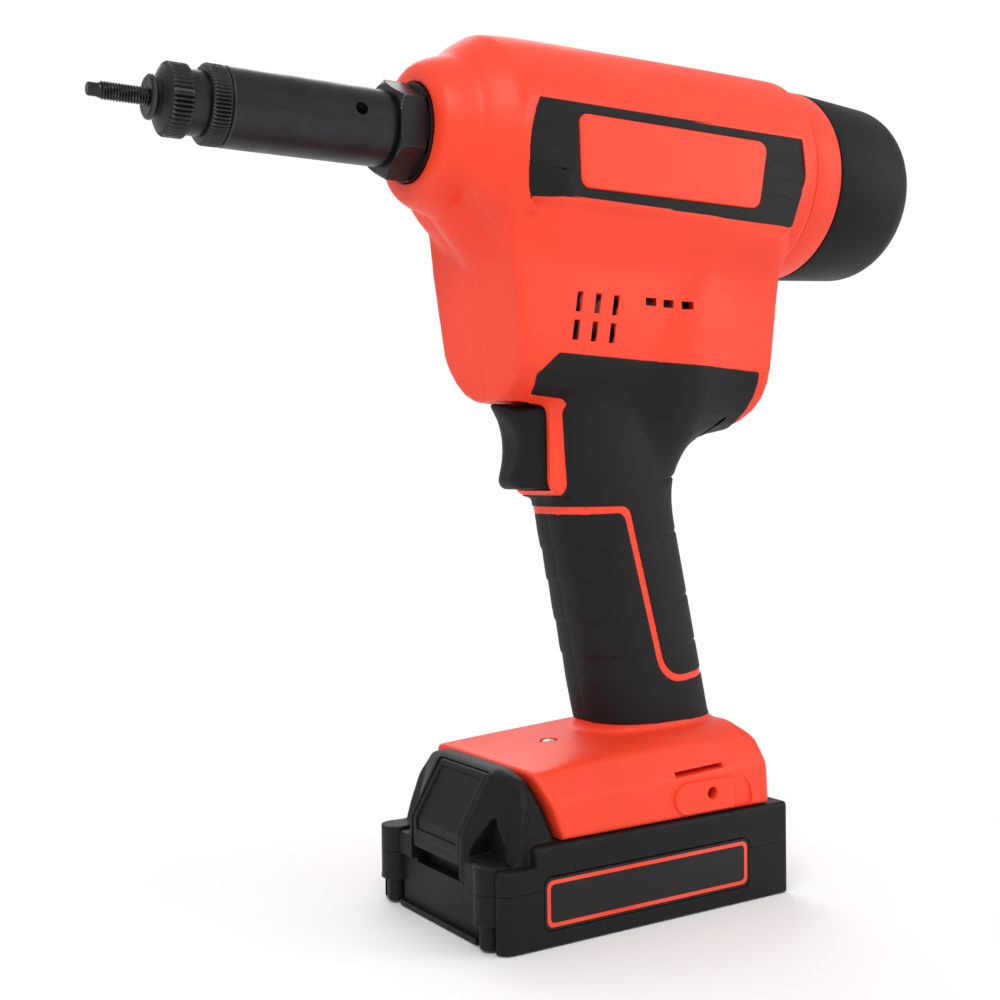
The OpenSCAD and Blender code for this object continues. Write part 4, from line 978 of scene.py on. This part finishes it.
# Work light
# A clear moulded lens, slightly domed, over a white diode. It is pressed into a bezel in the top
# of the foot, ahead of the handle.
lens, tree, given = new_finish("clear_lens", moulded_surface)
shade(tree, {
    "Base Color": mix_colour(tree, given["Cloud"], (0.36, 0.33, 0.31), (0.5, 0.46, 0.43)),
    "Roughness": spread(tree, given["Cloud"], 0, 1, 0.1, 0.18), "Coat Weight": 0.6,
})
lens_loop = [(-6, 0), (-6, 2), (-1.2, 2), (-1.2, 2.6), (-0.3, 2.6), (0.5, 2.2), (0.95, 1.3), (1.1, 0)]
light = lathe("work_light_lens", lens_loop, 0, 40)
lens_at = Matrix.Translation((lamp_x / 1000, 0, lamp_z / 1000 - 0.0001))
light.data.transform(lens_at @ Matrix.Rotation(-math.pi / 2, 4, "Y"))
dressed(light, "tool", "work_light", lens)

# Battery case
# Tray and cover in black nylon, screwed together from below. The cover carries the rail, the tower
# in front of the foot and the pocket of the release button.
pack_x, pack_y = mm("battery_tray")[1][:2]
pack_seam, seam_gap, deck_z, tower_top = 17, 0.08, 30, 50.5
post_x, post_y, post_r, notch_x, notch_w = -54.6, 28.8, 5, -52.6, 5.4
screw_x, screw_y = 51.5, 32.5
label_x, label_z, label_l, label_h, label_r = -1, 12.75, 40, 7.75, 2.5


def rounded_face(u, v, r):
    """Distance from a rounded rectangle; u and v say how far past its sides."""
    u, v = u + r, v + r
    return np.hypot(np.maximum(u, 0), np.maximum(v, 0)) - r + np.minimum(np.maximum(u, v), 0)


def case_plan(x, y):
    return rounded_face(np.abs(x) - pack_x, np.abs(y) - pack_y, np.where(x < 0, 5, 1.6))


def column(x, y, z):
    """Half-round posts on the front, necked near the floor under a thin flange."""
    near = np.hypot(x - post_x, np.abs(y) - post_y) - post_r
    return near + np.where(z < 7.9, 1.7, np.where(z < 8.9, -0.25, 0))


def label_face(x, z, grown):
    return rounded_face(
        np.abs(x - label_x) - (label_l + grown), np.abs(z - label_z) - (label_h + grown), label_r)


def label_room(x, y, z):
    return within(label_face(x, z, 0.3), pack_y - 0.6 - np.abs(y))


def screw_axis(x, y):
    """Distance from the nearest of the four screws in the corners."""
    return np.hypot(np.abs(x) - screw_x, np.abs(y) - screw_y)


def tray_field(x, y, z):
    a, d, case, top = np.abs(y), screw_axis(x, y), case_plan(x, y), z - pack_seam + seam_gap
    f = within(trim(case, -z, 0.8), top)
    f = without(f, x - notch_x, np.abs(a - post_y) - notch_w)
    f = without(f, x + pack_x - 1.6, a - 24, 2 - z)
    f = np.minimum(f, trim(trim(column(x, y, z), 0.4 - z, 0.8), top, 0.2))
    f = without(f, case + 4.2, 2.2 - z, -50 - x)
    f = without(f, a - 14.8, 16 - z, x + 51)
    f = without(f, label_room(x, y, z))
    f = np.minimum(f, within(d - 3.4, 0.6 - z, z - pack_seam + 0.15))
    f = without(f, d - 2.7, z - 3)
    return np.maximum(f, 1.5 - d)


ridge_side = drawn([
    (-56.6, 18, 0), (-56.6, 30.4, 2.5), (-46.3, 48, 2.5), (-43.5, tower_top - 0.2, 2),
    (-39.8, tower_top - 0.2, 0.5), (-39.6, 48.5, 0), (-33.8, 30.3, 0), (-33.8, 18, 0),
])
shoulder_side = drawn([
    (-49.2, 18, 0), (-49.2, 25, 1.5), (-44.4, 42.7, 6), (-42.4, tower_top - 1.4, 2),
    (-39.8, tower_top - 0.9, 0.5), (-39.6, 48.5, 0), (-33.8, 30.3, 0), (-33.8, 18, 0),
])
tower_front = drawn([
    (-60, 15, 0), (34.4, 15, 0), (33.8, 31, 3), (32, 40.5, 6), (27, tower_top - 2.6, 3),
    (17.5, tower_top + 0.6, 6), (-60, tower_top + 0.6, 0),
])
hollow_front = drawn([(17.6, 24.6, 0.6), (29.2, 24.6, 0.6), (22, 37.5, 0.8)])
button_w, rail_front = 14.5, -38
button_rooms = ((-51, 18.65, 2.25), (-50, 31.75, 11.15), (-44, 37.55, 10.95))  # to x, middle z, half-height


def cover_field(x, y, z):
    a, d, case, bottom = np.abs(y), screw_axis(x, y), case_plan(x, y), pack_seam + seam_gap - z
    deck = within(trim(case, z - deck_z, 1.6), bottom)
    deck = trim(deck, -within(24.2 - z, x + 44), 1.2)
    deck = without(deck, x - notch_x, np.abs(a - post_y) - notch_w, z - 24.6)
    deck = np.minimum(deck, trim(within(column(x, y, z), bottom), z - 25.3, 0.8))
    t = np.clip((a - button_w - 1.5) / 11, 0, 1)
    tower = trim((1 - t) * ridge_side(x, z) + t * shoulder_side(x, z), tower_front(a, z), 3.2)
    tower = within(trim(tower, -within(hollow_front(a, z), x + 47.5), 0.6), bottom)
    f = fuse(deck, tower, 1.2)
    f = without(f, case + 3, z - 27.8, -42.5 - x)
    for half, z_from, z_to in ((rail_neck, 29, 34.6), (rail_w, 33.6, rail_top)):
        f = np.minimum(f, box_around(x, y, z, (rail_front, -half, z_from), (rail_end, half, z_to)))
    for x_to, middle, half in button_rooms:
        f = without(f, a - button_w - 0.3, x - x_to, np.abs(z - middle) - half)
    f = without(f, box_around(x, y, z, (-45, -6.3, 36.6), (-37, 6.3, 47.5)))
    for blade in (-9, 0, 9):
        f = without(f, box_around(x, y, z, (10, blade - 1, 32.6), (45, blade + 1, 41)))
    f = without(f, label_room(x, y, z))
    f = np.minimum(f, within(d - 3, pack_seam + 0.15 - z, z - 23))
    return without(f, d - 1.5, z - 23)


for node, field in (("battery_tray", tray_field), ("battery_cover", cover_field)):
    fitted(node + "_case", field, 4, 0.7, 0.5, "battery", node, black_plastic)

# Release button and latch
# A black nylon slide in the tower's pocket, pushed down with the thumb, with a skirt that hides the
# gap it moves into; the steel latch behind it springs up into the foot.
button_side = drawn([
    (-56.4, 21.4, 0.5), (-54.4, 21.4, 0.3), (-54.4, 24.4, 0), (-50.3, 24.4, 0), (-50.3, 30.4, 0),
    (-44.3, 30.4, 0), (-44.3, 48.2, 0), (-45.9, 48.2, 1.5), (-56.4, 30.8, 2),
])


def button_field(x, y, z):
    a, face = np.abs(y), button_side(x, z)
    f = trim(face, a - button_w, 0.8)
    thumb = within(a - button_w + 2.4, np.abs(z - 36.8) - 9.6)
    f = np.minimum(trim(f, -within(thumb, -0.55 - face), 0.3), within(thumb, face + 0.55))
    return without(f, np.abs(z - 24.4) - 0.3, a - button_w + 3, -0.3 - face)


fitted("release_button_slide", button_field, 2, 0.5, 0.5,
       "release", "release_button", black_plastic)
finished(ground_steel, "battery_latch")

# Battery labels and insides
# Dark bare labels with an orange line round them; five lithium cells in black holders, nickel
# links, a protection board and brass contacts inside.
label_film = moulded("label_film", (0.0075, 0.0075, 0.008), (0.03, 0.03, 0.03), 0.42, 900, 0.005, 0.3)


def label_field(x, y, z, side):
    return within(label_face(x, z, 0), np.abs(side * y - pack_y + 0.3) - 0.25)


def label_line(name, side, outer, inner, lift):
    """The line round a label: a thin rounded frame, just proud of the film."""
    points, faces = [], []
    for inset, y in ((outer, lift), (inner, lift), (inner, -0.2), (outer, -0.2)):
        u, v, r = label_l - inset, label_h - inset, label_r - inset / 2
        run = rounded([(label_x + i * u, label_z + j * v, r) for i, j in quarters])
        points += [(x / 1000, side * (pack_y - 0.05 + y) / 1000, z / 1000) for x, z in run]
    n = len(run)
    for k in range(4):
        for i in range(n):
            j, m = (i + 1) % n, (k + 1) % 4
            faces.append((k * n + i, k * n + j, m * n + j, m * n + i)[::side])
    mesh = bpy.data.meshes.new(name)
    mesh.from_pydata(points, [], faces)
    return placed(name, mesh)


cell_wrap = moulded("cell_wrap", (0.05, 0.2, 0.36), (0.2, 0.35, 0.5), 0.35, 900, 0.01)
for side, word in sides:
    low, high = (label_x - 41, side * pack_y - 1.5, 3), (label_x + 41, side * pack_y + 1.5, 22)
    film = moulding("label_film_" + word, lambda x, y, z: label_field(x, y, z, side), low, high, 0.5, 0.2)
    dressed(film, "battery", "battery_labels", label_film)
    line = label_line("label_line_" + word, side, 0.8, 2, 0.06)
    dressed(line, "battery", "battery_labels", orange_plastic)
finished(cell_wrap, "battery_cells")
finished(black_plastic, "cell_holders")
finished(ground_steel, "cell_links")
finished(green_laminate, "battery_board")
finished(brass, "battery_terminals")
finished(black_steel, "battery_screws")
